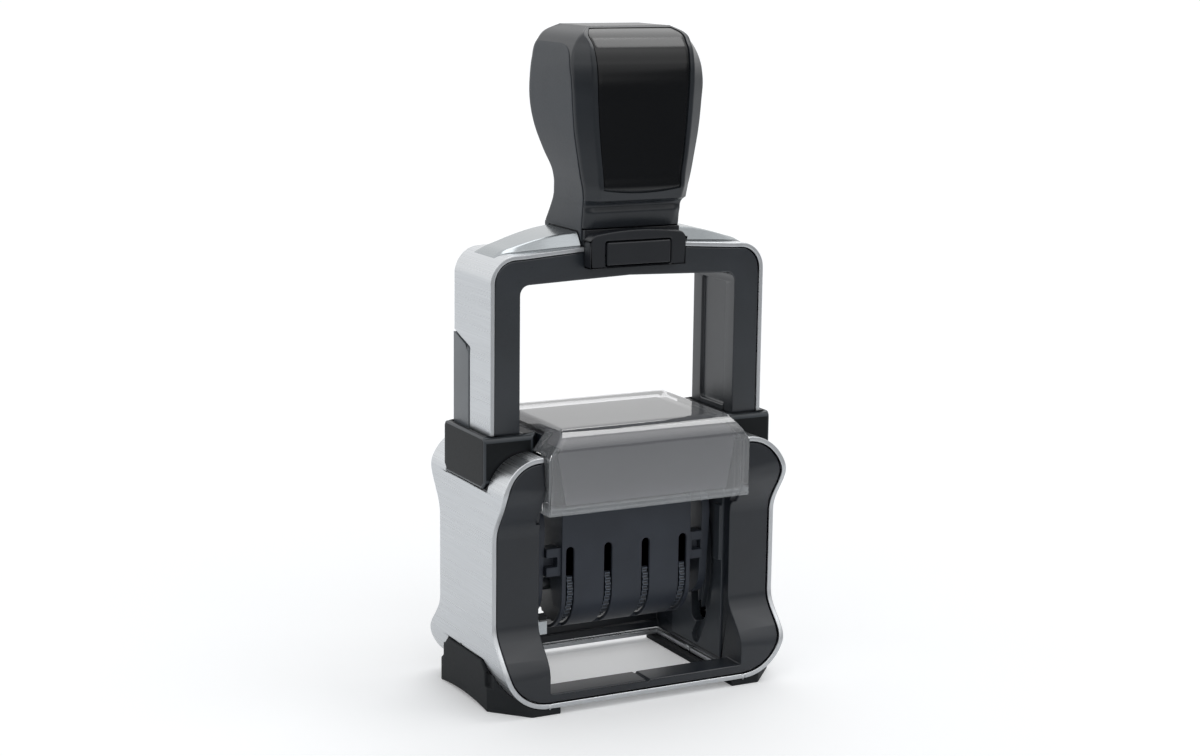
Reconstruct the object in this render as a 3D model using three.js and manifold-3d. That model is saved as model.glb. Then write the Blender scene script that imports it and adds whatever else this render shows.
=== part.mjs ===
import * as THREE from "three";
import { mergeVertices } from "three/addons/utils/BufferGeometryUtils.js";
import Module from "manifold-3d";

const wasm = await Module();
wasm.setup();

// Self-inking date stamp, in millimetres: +Z up, front towards -Y, floor at z = 0.
// A yoke with a handle slides down in a steel-banded base and turns the date unit over.

// Shared fits
const GAP = 0.3; // between a piece and the neighbour that it is shaped to
const FIT = 0.1; // between flat faces that are fastened together
const SLIDE = 0.25; // a side, between pieces that slide on each other
const OVERRUN = 3; // how far a cutter reaches past the piece that it cuts
const QUARTER_STEPS = 6; // chords in a quarter of a round corner

// Base: a steel band with a waist in its side view, round a plastic frame
const base = {
  halfWidth: 35.4,
  bottom: 1.5,
  top: 57.2,
  sheet: 1.1,
  topRadius: 9.5,
  bottomRadius: 11,
  shoulder: 10.2,
  waistOverhang: 4.5,
  lobeOverhang: 11,
  upperSetBack: 1.1,
  topSetBack: 2,
  lowerLobe: 8.7,
  waistBottom: 19.5,
  waistDrop: 18.7,
  lobeDrop: 6.7,
  ledge: 0.8,
  ledgeNotch: 0.5,
  blendSteps: 6,
};

// Inner frame: floors, bars and its clearances to the legs, cam plates and hood
const frame = {
  seam: 0.2,
  faceSetBack: 0.35,
  floorTop: 6.4,
  plateFloor: 3.8,
  barTop: 4.7,
  barDepth: 7,
  rearBarDepth: 2,
  rearWallTop: 10,
  rearWallSetBack: 0.8,
  legClear: 0.2,
  legClearDepth: 0.35,
  plateEdge: 1.35,
  plateClear: 0.8,
  hoodDrop: 13.1,
  hoodBack: 0.8,
  hoodClear: 0.5,
  creaseDepth: 0.6,
  creaseRise: 2.5,
  notchWidth: 0.8,
  notchDepth: 0.5,
};

// Cam plates that guide the date unit, one inside each leg's passage
const camPlate = {
  proud: 0.4,
  backClear: 0.25,
  thick: 2.55,
  cornerRadius: 2,
  grooveDepth: 1.3,
  ribWidth: 1,
  ribRise: 0.8,
  ribStartShare: 0.22,
  ribEndShare: 0.86,
  grooveSteps: 14,
  padWidth: 2.7,
  padAbove: 2,
  padBelow: 11,
  padRise: 0.6,
};

// Collars on the shoulders, and the rails that the stamp stands on
const collar = {
  proud: 0.4,
  overhang: 1.2,
  wall: 1.2,
  height: 11.5,
  drop: 7.8,
  cornerCut: 1.6,
  topCut: 0.8,
  innerCut: 1.4,
};

const rail = {
  overhang: 2.4,
  setBack: 0.2,
  toeCut: 7.2,
  toeDepth: 8,
  insertHalfDepth: 11.3,
  insertTop: 10.8,
  insertCut: 2.2,
  underTop: 5.5,
  arch: 0.9,
  proud: 0.4,
};

// Cradle for the ink cartridge, return springs and the stop clip
const cradle = {
  sideClear: 1.2,
  wall: 1.2,
  frontReach: 3.6,
  rearReach: 3.2,
  ledgeThick: 1.5,
  ledgeReach: 2.4,
  tabHeight: 6.6,
  tabClear: 0.7,
};

const spring = { radius: 2, sides: 16, centreY: 5, seat: 0.2 };

const clip = {
  halfHeight: 2,
  centreZ: 17.4,
  depth: 1.2,
  thick: 0.5,
  reach: 2.5,
  offset: 1.4,
};

// Clear cover over the inscription card
const cover = {
  proud: 0.9,
  rear: 12,
  shoulderDrop: 5.6,
  shoulderCut: 4.3,
  wall: 1.3,
  frontRadius: 4.6,
  shoulderRadius: 1.6,
  skirtHeight: 1.7,
  skirtClear: 0.8,
  lipDepth: 0.5,
  lipHeight: 1.2,
};

const card = { thick: 0.4, topMargin: 1.4, shoulderMargin: 3, bottomMargin: 5, lift: 1.8 };

// Yoke: a steel strap outside a plastic arch
const yoke = {
  inset: 1.6,
  halfDepth: 9.6,
  strap: 1,
  cornerRadius: 6,
  leg: 7.2,
  shoulderWidth: 4.8,
  beam: 6.5,
  rise: 1.3,
  crownHalf: 10.4,
  seam: 0.15,
  faceSetBack: 0.3,
  headroom: 4.2,
  innerRise: 0.9,
  innerRadius: 2.2,
  floorClear: 1.6,
  strapLift: 3,
  panelHalfDepth: 5.3,
  panelDeep: 0.7,
  panelHeight: 28.5,
  panelDrop: 2.6,
  springPocketDrop: 0.5,
};

// Pieces on the yoke: leg strips, fairings, hub, lock button with its leaf, and the grip's screw
const strip = { front: 1.6, drop: 12.1, slope: 2.6, cornerRadius: 1.4, proud: 0.15 };

const fairing = {
  overlap: 2,
  hubGap: 0.45,
  height: 3,
  footHalf: 8.8,
  ridgeHalf: 7,
  startShare: 0.6, // of its depth at the hub, that is left at the shoulder
  steps: 6,
  seam: 0.1,
};

const hub = {
  halfWidth: 11.7,
  frontWall: 3.4,
  rearWall: 1.3,
  lift: 3.2,
  overCrown: 3.6,
  archRise: 1,
  cornerRadius: 1.4,
  archSteps: 8,
  rearOverCrown: 0.5,
};

const button = {
  halfWidth: 7.8,
  lift: 0.65,
  height: 5,
  proud: 0.3,
  thick: 1.5,
  cornerRadius: 0.6,
  flange: 0.8,
  flangeThick: 0.5,
};

const leaf = { halfWidth: 9.4, thick: 0.3, height: 3.6, slotWidth: 0.4, slotPitch: 1.6, endMargin: 1.6 };

const screw = { radius: 2, headRadius: 3.6, headHeight: 2.4, headLift: 1.5, inGrip: 13.2, sides: 20 };

// Handle grip: eight-sided sections whose corners are shares of its size
const grip = {
  height: 43.2,
  halfWidth: 16,
  halfDepth: 14.4,
  skin: 0.7,
  skinPocket: 1,
  seam: 0.25,
  rowSteps: 18,
  panelLift: 8.6,
  panelSag: 0.9,
  panelTopDepth: 7.6,
  panelSteps: 7,
  padLift: 0.4,
  padDrop: 3.8,
  padCutBack: 2.2,
  padCutDrop: 4.2,
  padSteps: 8,
};

// Each row: height share, then half-width and depth shares of the face corner, the front
// shoulder, the rear shoulder and the back corner. Depths count forwards in front, backwards behind.
const gripRowShares = [
  [0, 0.62, 0.68, 0.74, 0.65, 0.74, 0.65, 0.6, 0.7],
  [0.074, 0.625, 0.75, 0.744, 0.68, 0.694, 0.583, 0.57, 0.65],
  [0.134, 0.625, 0.85, 0.769, 0.764, 0.675, 0.528, 0.55, 0.6],
  [0.172, 0.63, 0.98, 0.785, 0.8, 0.672, 0.507, 0.545, 0.59],
  [0.26, 0.65, 0.995, 0.838, 0.812, 0.706, 0.507, 0.56, 0.62],
  [0.363, 0.685, 1, 0.888, 0.819, 0.794, 0.625, 0.62, 0.76],
  [0.49, 0.72, 1, 0.944, 0.826, 0.9, 0.708, 0.7, 0.9],
  [0.618, 0.745, 1, 0.975, 0.833, 0.956, 0.743, 0.74, 0.97],
  [0.745, 0.76, 1, 0.994, 0.826, 0.956, 0.736, 0.76, 0.98],
  [0.826, 0.767, 0.975, 0.985, 0.75, 0.94, 0.708, 0.767, 0.96],
  [0.914, 0.774, 0.86, 0.888, 0.66, 0.885, 0.66, 0.774, 0.86],
  [0.972, 0.755, 0.65, 0.75, 0.6, 0.74, 0.6, 0.73, 0.65],
  [1, 0.64, 0.47, 0.6, 0.43, 0.6, 0.43, 0.62, 0.47],
];

// Swivelling date unit
const swivel = {
  printDrop: 7.3,
  faceReach: 11.9,
  faceClear: 0.1,
  axleRadius: 2,
  axleClear: 0.08,
  axleGrip: 4.4,
  sides: 20,
  pinDrop: 5.9,
  pinRadius: 1.5,
  pinClear: 0.12,
  pinTip: 0.25,
  cheekGap: 1.7,
  cheekThick: 2,
  cheekWheelRadius: 6.4,
  cheekAxleRadius: 8.4,
  cheekPinRadius: 3.1,
};

// Print bridge, drum cover, thumbwheels and date bands
const bridge = { halfDepth: 2.5, cornerRadius: 1.4, flange: 3.4, flangeThick: 1.6 };

const drum = {
  drop: 14.9,
  radius: 9.6,
  wall: 0.8,
  endGap: 3.6,
  rise: 4.6,
  topClear: 1.55,
  topRadius: 1.5,
  lowerSweep: 1.75,
  slotWidth: 2,
  slotRise: 11,
  slotSweep: 1.2,
  slotMargin: 2.05,
  spacingShare: 2 / 3, // between four slots, of the outer ones' distance from the middle
  endWall: 0.9,
  endRear: 0.5,
  endBottomShare: 0.35,
  lugRise: 4.5,
  lugHeight: 6.4,
  lugFront: 8.9,
  lugRear: 5.2,
  lugNotch: 2.2,
  arcSteps: 14,
};

const wheel = {
  proud: 0.3,
  forward: 0.9,
  rise: 0.8,
  toothDepth: 0.45,
  toothCount: 44,
  thick: 1.3,
  rimDepth: 3.5,
  boreClear: 0.08,
  axleRadius: 1.5,
  spoolSides: 28,
};

const band = {
  thick: 0.9,
  clear: 0.15,
  typeRise: 0.6,
  typeHalfDepth: 1.9,
  discGap: 0.3,
  centreGap: 0.3,
};

// Ink cartridge
const tray = {
  sideClear: 0.4,
  faceClear: 0.2,
  height: 8.9,
  frontClear: 2.2,
  gripDepth: 4.8,
  gripClear: 1,
  gripDrop: 4.1,
  gripInset: 1.2,
  ribCount: 5,
  ribWidth: 0.8,
  ribDepth: 0.5,
  cornerRadius: 1.2,
};

const pad = { rim: 6.2, halfDepth: 6.2, recess: 0.15, thick: 3.4 };

// Widths that follow from the base's side
base.mouthHalf = base.halfWidth - base.shoulder;
yoke.halfWidth = base.halfWidth - yoke.inset;
yoke.innerHalf = yoke.halfWidth - yoke.leg;
yoke.shoulderHalf = yoke.halfWidth - yoke.shoulderWidth;
frame.passageInner = yoke.innerHalf - frame.legClear;
camPlate.inner = frame.passageInner - camPlate.backClear - camPlate.thick;
frame.windowHalf = camPlate.inner + camPlate.proud;
base.openingHalfWidth = frame.windowHalf - base.ledge;
collar.outer = base.halfWidth + collar.proud;
collar.inner = frame.windowHalf - collar.overhang;
rail.outer = base.halfWidth + rail.proud;
rail.toeOuter = rail.outer - rail.toeCut;
rail.inner = frame.windowHalf - rail.overhang;
cover.halfWidth = base.mouthHalf - GAP;
cover.topHalf = cover.halfWidth - cover.shoulderCut;
card.bottomHalf = cover.halfWidth - card.bottomMargin;
card.frontTopHalf = cover.halfWidth - card.shoulderMargin;
card.topHalf = cover.topHalf - card.topMargin;
cradle.halfWidth = camPlate.inner - cradle.sideClear;
tray.halfWidth = cradle.halfWidth - cradle.wall - tray.sideClear;
tray.gripHalf = tray.halfWidth - tray.gripInset;
pad.halfWidth = tray.halfWidth - pad.rim;
swivel.cheekInner = camPlate.inner - swivel.cheekGap - swivel.cheekThick;
swivel.axleOuter = yoke.innerHalf + swivel.axleGrip;
drum.halfWidth = swivel.cheekInner - drum.endGap;
drum.slotSpacing = (drum.halfWidth - drum.slotMargin) * drum.spacingShare;
band.discSide = wheel.thick / 2 + band.discGap;
band.wide = drum.slotSpacing - 2 * band.discSide;
band.narrow = (band.wide - band.centreGap) / 2;
fairing.outer = yoke.shoulderHalf + fairing.overlap;
fairing.inner = hub.halfWidth + fairing.hubGap;

// Depths that follow from the yoke's and from how far the base stands out past it
base.waistHalfDepth = yoke.halfDepth + base.waistOverhang;
base.lowerHalfDepth = yoke.halfDepth + base.lobeOverhang;
base.upperHalfDepth = base.lowerHalfDepth - base.upperSetBack;
base.topHalfDepth = base.lowerHalfDepth - base.topSetBack;
frame.front = base.lowerHalfDepth - frame.barDepth;
frame.rear = base.lowerHalfDepth - frame.rearBarDepth;
base.openingFront = frame.front - base.ledge;
base.openingRear = frame.rear - base.ledge;
base.openingMiddle = (base.openingRear - base.openingFront) / 2;
rail.halfDepth = base.lowerHalfDepth - rail.setBack;
rail.sideHalfDepth = rail.halfDepth - rail.toeDepth;
frame.passageHalfDepth = yoke.halfDepth + frame.legClearDepth;
frame.plateHalfDepth = frame.passageHalfDepth + frame.plateEdge;
camPlate.padFront = frame.plateHalfDepth - FIT - GAP;
camPlate.padBack = camPlate.padFront - camPlate.padWidth;
collar.halfDepth = yoke.halfDepth + collar.wall;
cradle.rear = collar.halfDepth + cradle.rearReach;
cradle.front = collar.halfDepth + cradle.frontReach;
tray.front = cradle.front - cradle.wall - tray.frontClear;
frame.hoodSeatDepth = cradle.front + frame.hoodBack;
cover.skirtFront = collar.halfDepth + cover.skirtClear;
clip.setBack = frame.plateHalfDepth + clip.offset;
cover.front = base.upperHalfDepth + cover.proud;
cover.sideDepth = cover.front - frame.hoodSeatDepth - frame.hoodClear;
wheel.radius = drum.radius + wheel.proud - wheel.forward;
wheel.spoolRadius = wheel.radius - wheel.rimDepth;
drum.topReturn = drum.radius - bridge.halfDepth - band.clear - band.thick - drum.topClear;
hub.front = yoke.halfDepth + hub.frontWall;
hub.rear = yoke.halfDepth + hub.rearWall;
tray.gripFront = cradle.rear + tray.gripClear;
tray.gripRear = tray.gripFront + tray.gripDepth;

// Heights that follow from the base's top
base.waistTop = base.top - base.waistDrop;
base.upperLobe = base.top - base.lobeDrop;
frame.hoodSeat = base.top - frame.hoodDrop;
collar.bottom = base.top - collar.drop;
frame.plateTop = collar.bottom - frame.plateClear;
collar.top = collar.bottom + collar.height;
swivel.printFace = base.top - swivel.printDrop;
swivel.axisZ = swivel.printFace - swivel.faceReach;
swivel.pinOffset = swivel.faceReach - swivel.pinDrop;
camPlate.padBottom = swivel.axisZ - camPlate.padBelow;
camPlate.padTop = swivel.axisZ + camPlate.padAbove;
drum.centreZ = swivel.axisZ - drum.drop;
drum.top = swivel.axisZ + drum.rise;
drum.slotTop = drum.centreZ + drum.slotRise;
drum.lugBottom = drum.centreZ + drum.lugRise;
drum.lugTop = drum.lugBottom + drum.lugHeight;
bridge.bottom = drum.top + GAP;
tray.bottom = swivel.printFace + tray.faceClear;
tray.top = tray.bottom + tray.height;
tray.gripBottom = tray.bottom - tray.gripDrop;
pad.face = tray.bottom + pad.recess;
cradle.ledgeTop = tray.bottom - GAP;
cradle.roofTop = tray.top + tray.sideClear + cradle.wall;
cradle.tabBottom = frame.plateTop + GAP;
cradle.tabTop = cradle.tabBottom + cradle.tabHeight;
cover.bottom = frame.hoodSeat + GAP;
cover.top = cradle.roofTop + cover.wall + card.thick + 2 * GAP;
cover.shoulder = cover.top - cover.shoulderDrop;
cover.skirtBottom = cover.top - cover.skirtHeight;
card.bottom = cover.bottom + card.lift;

// Stroke that brings the type from the pad to the paper, and the yoke's heights above it
yoke.stroke = 2 * swivel.axisZ - swivel.printFace - swivel.faceClear;
yoke.legBottom = frame.floorTop + yoke.stroke + yoke.floorClear;
yoke.strapBottom = yoke.legBottom + yoke.strapLift;
yoke.innerTop = cover.top + yoke.stroke + yoke.headroom;
yoke.innerCrown = yoke.innerTop + yoke.innerRise;
yoke.shoulderTop = yoke.innerTop + yoke.beam;
yoke.crown = yoke.shoulderTop + yoke.rise;
yoke.panelTop = yoke.innerTop - yoke.panelDrop;
yoke.panelBottom = yoke.panelTop - yoke.panelHeight;
yoke.springPocketTop = yoke.panelBottom - yoke.springPocketDrop;
strip.top = yoke.innerTop - strip.drop;
hub.bottom = yoke.innerTop + hub.lift;
hub.top = yoke.crown + hub.overCrown;
hub.cornerTop = hub.top - hub.archRise;
hub.rearTop = yoke.crown + hub.rearOverCrown;
button.bottom = hub.bottom + button.lift;
button.top = button.bottom + button.height;
grip.bottom = hub.top + GAP;
grip.top = grip.bottom + grip.height;
grip.panelBottom = grip.bottom + grip.panelLift;
grip.padBottom = grip.bottom + grip.padLift;
grip.padTop = grip.top - grip.padDrop;
screw.headBottom = yoke.innerTop + screw.headLift;
screw.reach = grip.bottom + screw.inGrip;

// Finishes, as colour, roughness and metalness
const finish = {
  brushedSteel: [0xc3c8cb, 0.32, 1],
  polishedSteel: [0xd8dcde, 0.15, 1],
  springSteel: [0x9da3a6, 0.35, 1],
  blackPlastic: [0x2b2f32, 0.45, 0],
  matteGrip: [0x44494c, 0.6, 0],
  glossPanel: [0x101214, 0.08, 0],
  drumPlastic: [0x2f343c, 0.4, 0],
  clearPlastic: [0x9a9698, 0.1, 0],
  cardStock: [0x6e6d71, 0.8, 0],
  rubber: [0x2a2c2f, 0.85, 0],
  inkPad: [0x23315f, 0.95, 0],
};

const stamp = new THREE.Group();

// A closed geometry as a solid that can be cut and joined
function solid(geometry) {
  const bare = geometry.index ? geometry.toNonIndexed() : geometry;
  bare.deleteAttribute("normal");
  bare.deleteAttribute("uv");
  const merged = mergeVertices(bare);
  const mesh = new wasm.Mesh({
    numProp: merged.attributes.position.itemSize,
    vertProperties: new Float32Array(merged.attributes.position.array),
    triVerts: new Uint32Array(merged.index.array),
  });
  return new wasm.Manifold(mesh);
}

// A solid as a named mesh with its own material, hung on a parent group
function add(name, piece, [colour, roughness, metalness], parent = stamp) {
  const made = piece.getMesh();
  const geometry = new THREE.BufferGeometry();
  geometry.setAttribute(
    "position",
    new THREE.BufferAttribute(made.vertProperties, made.numProp),
  );
  geometry.setIndex(new THREE.BufferAttribute(made.triVerts, 1));
  geometry.computeVertexNormals();
  const material = new THREE.MeshStandardMaterial({ color: colour, roughness, metalness });
  const mesh = new THREE.Mesh(geometry, material);
  mesh.name = name;
  parent.add(mesh);
  return mesh;
}

const union = (...pieces) => pieces.reduce((a, b) => a.add(b));
const cut = (piece, ...cutters) => cutters.reduce((a, b) => a.subtract(b), piece);
const mirrored = (points) => points.map(([u, v]) => [-u, v]).reverse();

// An outline from corners [u, v, radius], each turned by an arc that touches both sides
function rounded(corners) {
  const points = [];
  corners.forEach(([u, v, radius = 0], i) => {
    const corner = new THREE.Vector2(u, v);
    const before = corners[(i + corners.length - 1) % corners.length];
    const after = corners[(i + 1) % corners.length];
    const back = new THREE.Vector2(before[0], before[1]).sub(corner).normalize();
    const on = new THREE.Vector2(after[0], after[1]).sub(corner).normalize();
    const half = Math.acos(THREE.MathUtils.clamp(back.dot(on), -1, 1)) / 2;
    if (!radius) {
      points.push([u, v]);
      return;
    }
    const reach = radius / Math.sin(half);
    const middle = back.clone().add(on).normalize().multiplyScalar(reach).add(corner);
    const turn = Math.PI - 2 * half;
    const first = back.clone().multiplyScalar(radius / Math.tan(half)).add(corner).sub(middle);
    const sense = -Math.sign(back.cross(on));
    const steps = Math.max(1, Math.round((QUARTER_STEPS * turn) / (Math.PI / 2)));
    for (let k = 0; k <= steps; k++) {
      const spoke = first.clone().rotateAround(new THREE.Vector2(), (sense * turn * k) / steps);
      points.push([middle.x + spoke.x, middle.y + spoke.y]);
    }
  });
  return points;
}

// An outline extruded along one axis: (y, z) along x, (x, z) along y or (x, y) along z
function prism(axis, outline, from, to) {
  const shape = new THREE.Shape(outline.map(([u, v]) => new THREE.Vector2(u, v)));
  const geometry = new THREE.ExtrudeGeometry(shape, {
    depth: to - from,
    bevelEnabled: false,
    steps: 1,
  });
  const turn = new THREE.Matrix4();
  const [x, y, z] = [[1, 0, 0], [0, 1, 0], [0, 0, 1]].map((v) => new THREE.Vector3(...v));
  if (axis === "x") turn.makeBasis(y, z, x).setPosition(from, 0, 0);
  if (axis === "y") turn.makeBasis(x, z, y.negate()).setPosition(0, to, 0);
  if (axis === "z") turn.setPosition(0, 0, from);
  return solid(geometry.applyMatrix4(turn));
}

function box([x0, x1], [y0, y1], [z0, z1]) {
  const geometry = new THREE.BoxGeometry(x1 - x0, y1 - y0, z1 - z0);
  return solid(geometry.translate((x0 + x1) / 2, (y0 + y1) / 2, (z0 + z1) / 2));
}

// A round bar along one axis, centred on the two other coordinates
function rod(axis, radius, from, to, [p, q], sides) {
  const geometry = new THREE.CylinderGeometry(radius, radius, to - from, sides);
  const middle = (from + to) / 2;
  if (axis === "x") geometry.rotateZ(Math.PI / 2).translate(middle, p, q);
  if (axis === "y") geometry.translate(p, middle, q);
  if (axis === "z") geometry.rotateX(Math.PI / 2).translate(p, q, middle);
  return solid(geometry);
}

// A skin through sections with like corners, capped at both ends
function loft(sections) {
  const count = sections[0].length;
  const positions = sections.flat().flatMap((p) => [p.x, p.y, p.z]);
  const index = [];
  for (let row = 0; row + 1 < sections.length; row++)
    for (let i = 0; i < count; i++) {
      const a = row * count + i;
      const b = row * count + ((i + 1) % count);
      index.push(a, b, b + count, a, b + count, a + count);
    }
  const last = (sections.length - 1) * count;
  for (let i = 1; i + 1 < count; i++) {
    index.push(0, i + 1, i);
    index.push(last, last + i, last + i + 1);
  }
  const geometry = new THREE.BufferGeometry();
  const numProp = sections[0][0].toArray().length;
  geometry.setAttribute("position", new THREE.Float32BufferAttribute(positions, numProp));
  geometry.setIndex(index);
  const made = solid(geometry);
  if (made.volume() > 0) return made;
  geometry.setIndex(index.reverse());
  return solid(geometry);
}

// A strip of one width along a line of points
function ribbon(line, halfWidth) {
  const side = (sense) =>
    line.map((p, i) => {
      const a = line[Math.max(0, i - 1)];
      const b = line[Math.min(line.length - 1, i + 1)];
      const along = new THREE.Vector2(b[0] - a[0], b[1] - a[1]).normalize();
      return [p[0] - sense * halfWidth * along.y, p[1] + sense * halfWidth * along.x];
    });
  return [...side(1), ...side(-1).reverse()];
}

// The smallest convex outline round a set of points
function hull(points) {
  const sorted = [...points].sort((a, b) => a[0] - b[0] || a[1] - b[1]);
  const half = (list) => {
    const out = [];
    for (const p of list) {
      while (out.length > 1) {
        const [a, b] = out.slice(-2);
        if ((b[0] - a[0]) * (p[1] - a[1]) - (b[1] - a[1]) * (p[0] - a[0]) > 0) break;
        out.pop();
      }
      out.push(p);
    }
    return out.slice(0, -1);
  };
  return [...half(sorted), ...half(sorted.reverse())];
}

function circle([u, v], radius, sides) {
  return Array.from({ length: sides }, (_, i) => {
    const angle = (2 * Math.PI * i) / sides;
    return [u + radius * Math.cos(angle), v + radius * Math.sin(angle)];
  });
}

// Points on an arc, with angles counted from +u towards +v
function arc([u, v], radius, from, to, steps) {
  return Array.from({ length: steps + 1 }, (_, i) => {
    const angle = from + ((to - from) * i) / steps;
    return [u + radius * Math.cos(angle), v + radius * Math.sin(angle)];
  });
}

// The band's front view, with its round corners, moved outwards by an offset
function bandOutline(offset) {
  const side = base.halfWidth + offset;
  const low = base.bottom - offset;
  const high = base.top + offset;
  const lowRadius = base.bottomRadius + offset;
  const highRadius = base.topRadius + offset;
  return rounded([
    [-side, low, lowRadius],
    [side, low, lowRadius],
    [side, high, highRadius],
    [-side, high, highRadius],
  ]);
}

// The waisted side view: deep lobes above and below, blended by half cosine waves
function waistOutline(offset) {
  const blend = (z0, d0, z1, d1) =>
    Array.from({ length: base.blendSteps + 1 }, (_, i) => {
      const share = i / base.blendSteps;
      const eased = (1 - Math.cos(Math.PI * share)) / 2;
      return [d0 + (d1 - d0) * eased + offset, z0 + (z1 - z0) * share];
    });
  const half = [
    [base.lowerHalfDepth + offset, base.bottom - OVERRUN],
    ...blend(base.lowerLobe, base.lowerHalfDepth, base.waistBottom, base.waistHalfDepth),
    ...blend(base.waistTop, base.waistHalfDepth, base.upperLobe, base.upperHalfDepth),
    [base.topHalfDepth + offset, base.top],
    [base.topHalfDepth + offset, base.top + OVERRUN],
  ];
  return [...half, ...mirrored(half)];
}

const reachX = base.halfWidth + OVERRUN;
const reachY = base.lowerHalfDepth + OVERRUN;

function mirrorX(piece) {
  return piece.mirror([1, 0, 0]);
}

// The pocket that a collar fills, grown by a gap
function collarSpace(grow) {
  return box(
    [collar.inner - grow, collar.outer + OVERRUN],
    [-collar.halfDepth - grow, collar.halfDepth + grow],
    [collar.bottom - grow, collar.top + OVERRUN],
  );
}

// The way that a leg needs to slide down through a collar and the shoulder
function legPassage(low) {
  return box(
    [yoke.innerHalf - SLIDE, yoke.halfWidth + strip.proud + SLIDE],
    [-yoke.halfDepth - SLIDE, yoke.halfDepth + SLIDE],
    [low, collar.top + OVERRUN],
  );
}

// The side insert's outline in the side view, with cut upper corners
function insertOutline(grow) {
  const half = rail.insertHalfDepth + grow;
  const high = rail.insertTop + grow;
  return [
    [-half, -OVERRUN],
    [half, -OVERRUN],
    [half, high - rail.insertCut],
    [half - rail.insertCut, high],
    [rail.insertCut - half, high],
    [-half, high - rail.insertCut],
  ];
}

// Steel band: bent in one piece, open between the collars and over the print opening
function baseShell() {
  const ring = cut(
    prism("y", bandOutline(0), -reachY, reachY),
    prism("y", bandOutline(-base.sheet), -reachY - OVERRUN, reachY + OVERRUN),
  );
  const bent = ring.intersect(prism("x", waistOutline(0), -reachX, reachX));
  const mouth = box(
    [-base.mouthHalf, base.mouthHalf],
    [-reachY, reachY],
    [base.upperLobe, base.top + OVERRUN],
  );
  const opening = box(
    [-base.openingHalfWidth, base.openingHalfWidth],
    [-base.openingFront, base.openingRear],
    [-OVERRUN, base.bottom + base.sheet + OVERRUN],
  );
  const markReach = base.openingHalfWidth + base.ledgeNotch;
  const marks = prism(
    "z",
    [[-markReach, 0], [0, -markReach], [markReach, 0], [0, markReach]],
    -OVERRUN,
    base.bottom + base.sheet + OVERRUN,
  )
    .intersect(box([-reachX, reachX], [-base.ledge, base.ledge], [-OVERRUN, base.lowerLobe]))
    .translate([0, base.openingMiddle, 0]);
  const insert = prism("x", insertOutline(GAP), base.halfWidth - base.bottomRadius, reachX);
  const shoulderHole = union(collarSpace(GAP), legPassage(base.waistTop));
  return cut(
    bent,
    mouth,
    opening,
    marks,
    insert,
    mirrorX(insert),
    shoulderHole,
    mirrorX(shoulderHole),
  );
}
add("base_shell", baseShell(), finish.brushedSteel);

// Inner frame: four pillars, a front bar and a rear wall in one moulding
const frameInset = base.sheet + frame.seam;
function innerFrame() {
  const body = prism("y", bandOutline(-frameInset), -reachY, reachY).intersect(
    prism("x", waistOutline(-frame.faceSetBack), -reachX, reachX),
  );
  const above = [base.top, base.top + OVERRUN];
  const window = box([-frame.windowHalf, frame.windowHalf], [-reachY, reachY], [frame.barTop, above[1]]);
  const opening = box(
    [-frame.windowHalf, frame.windowHalf],
    [-frame.front, frame.rear],
    [-OVERRUN, above[0]],
  );
  const passage = box(
    [frame.passageInner, reachX],
    [-frame.passageHalfDepth, frame.passageHalfDepth],
    [frame.floorTop, above[1]],
  );
  const platePocket = box(
    [camPlate.inner - OVERRUN, frame.passageInner],
    [-frame.plateHalfDepth, frame.plateHalfDepth],
    [frame.plateFloor, above[1]],
  );
  const hoodPocket = box(
    [-base.mouthHalf, base.mouthHalf],
    [-reachY, -frame.hoodSeatDepth],
    [frame.hoodSeat, above[1]],
  );
  const shoulderPocket = box(
    [-base.mouthHalf, base.mouthHalf],
    [-reachY, reachY],
    [cover.shoulder - GAP, above[1]],
  );
  const crease = prism(
    "x",
    [
      [-reachY, frame.hoodSeat - frame.creaseRise],
      [-base.waistHalfDepth + frame.faceSetBack, frame.hoodSeat - frame.creaseRise],
      [-base.waistHalfDepth - frame.creaseDepth, frame.hoodSeat],
      [-reachY, frame.hoodSeat],
    ],
    -base.mouthHalf,
    base.mouthHalf,
  );
  const insert = prism("x", insertOutline(GAP), base.halfWidth - base.sheet, reachX);
  const collarPocket = collarSpace(GAP);
  const notch = box(
    [-frame.notchWidth / 2, frame.notchWidth / 2],
    [-reachY, -frame.front + OVERRUN],
    [frame.barTop - frame.notchDepth, frame.barTop + OVERRUN],
  );
  const carved = cut(
    body,
    window,
    opening,
    passage,
    mirrorX(passage),
    platePocket,
    mirrorX(platePocket),
    hoodPocket,
    shoulderPocket,
    crease,
    insert,
    mirrorX(insert),
    collarPocket,
    mirrorX(collarPocket),
    notch,
  );
  const rearReach = base.lowerHalfDepth - frame.faceSetBack;
  const rear = frame.windowHalf + frame.seam;
  const wall = box(
    [-rear, rear],
    [frame.rear + frame.rearWallSetBack, rearReach],
    [frame.barTop - frame.seam, frame.rearWallTop],
  ).intersect(prism("x", waistOutline(-frame.faceSetBack), -reachX, reachX));
  return union(carved, wall);
}
add("inner_frame", innerFrame(), finish.blackPlastic);

// Places on the cam groove: the guide pin's path while the unit sinks and turns over
function groovePoint(share, offset = 0) {
  const angle = Math.PI * share;
  const fall = yoke.stroke * share;
  const at = (a, f) => [-swivel.pinOffset * Math.sin(a), swivel.axisZ - f + swivel.pinOffset * Math.cos(a)];
  const [y, z] = at(angle, fall);
  if (!offset) return [y, z];
  const small = Math.PI / camPlate.grooveSteps;
  const [y2, z2] = at(angle + small, fall + (yoke.stroke * small) / Math.PI);
  const along = new THREE.Vector2(y2 - y, z2 - z).normalize();
  return [y + offset * along.y, z - offset * along.x];
}

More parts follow.
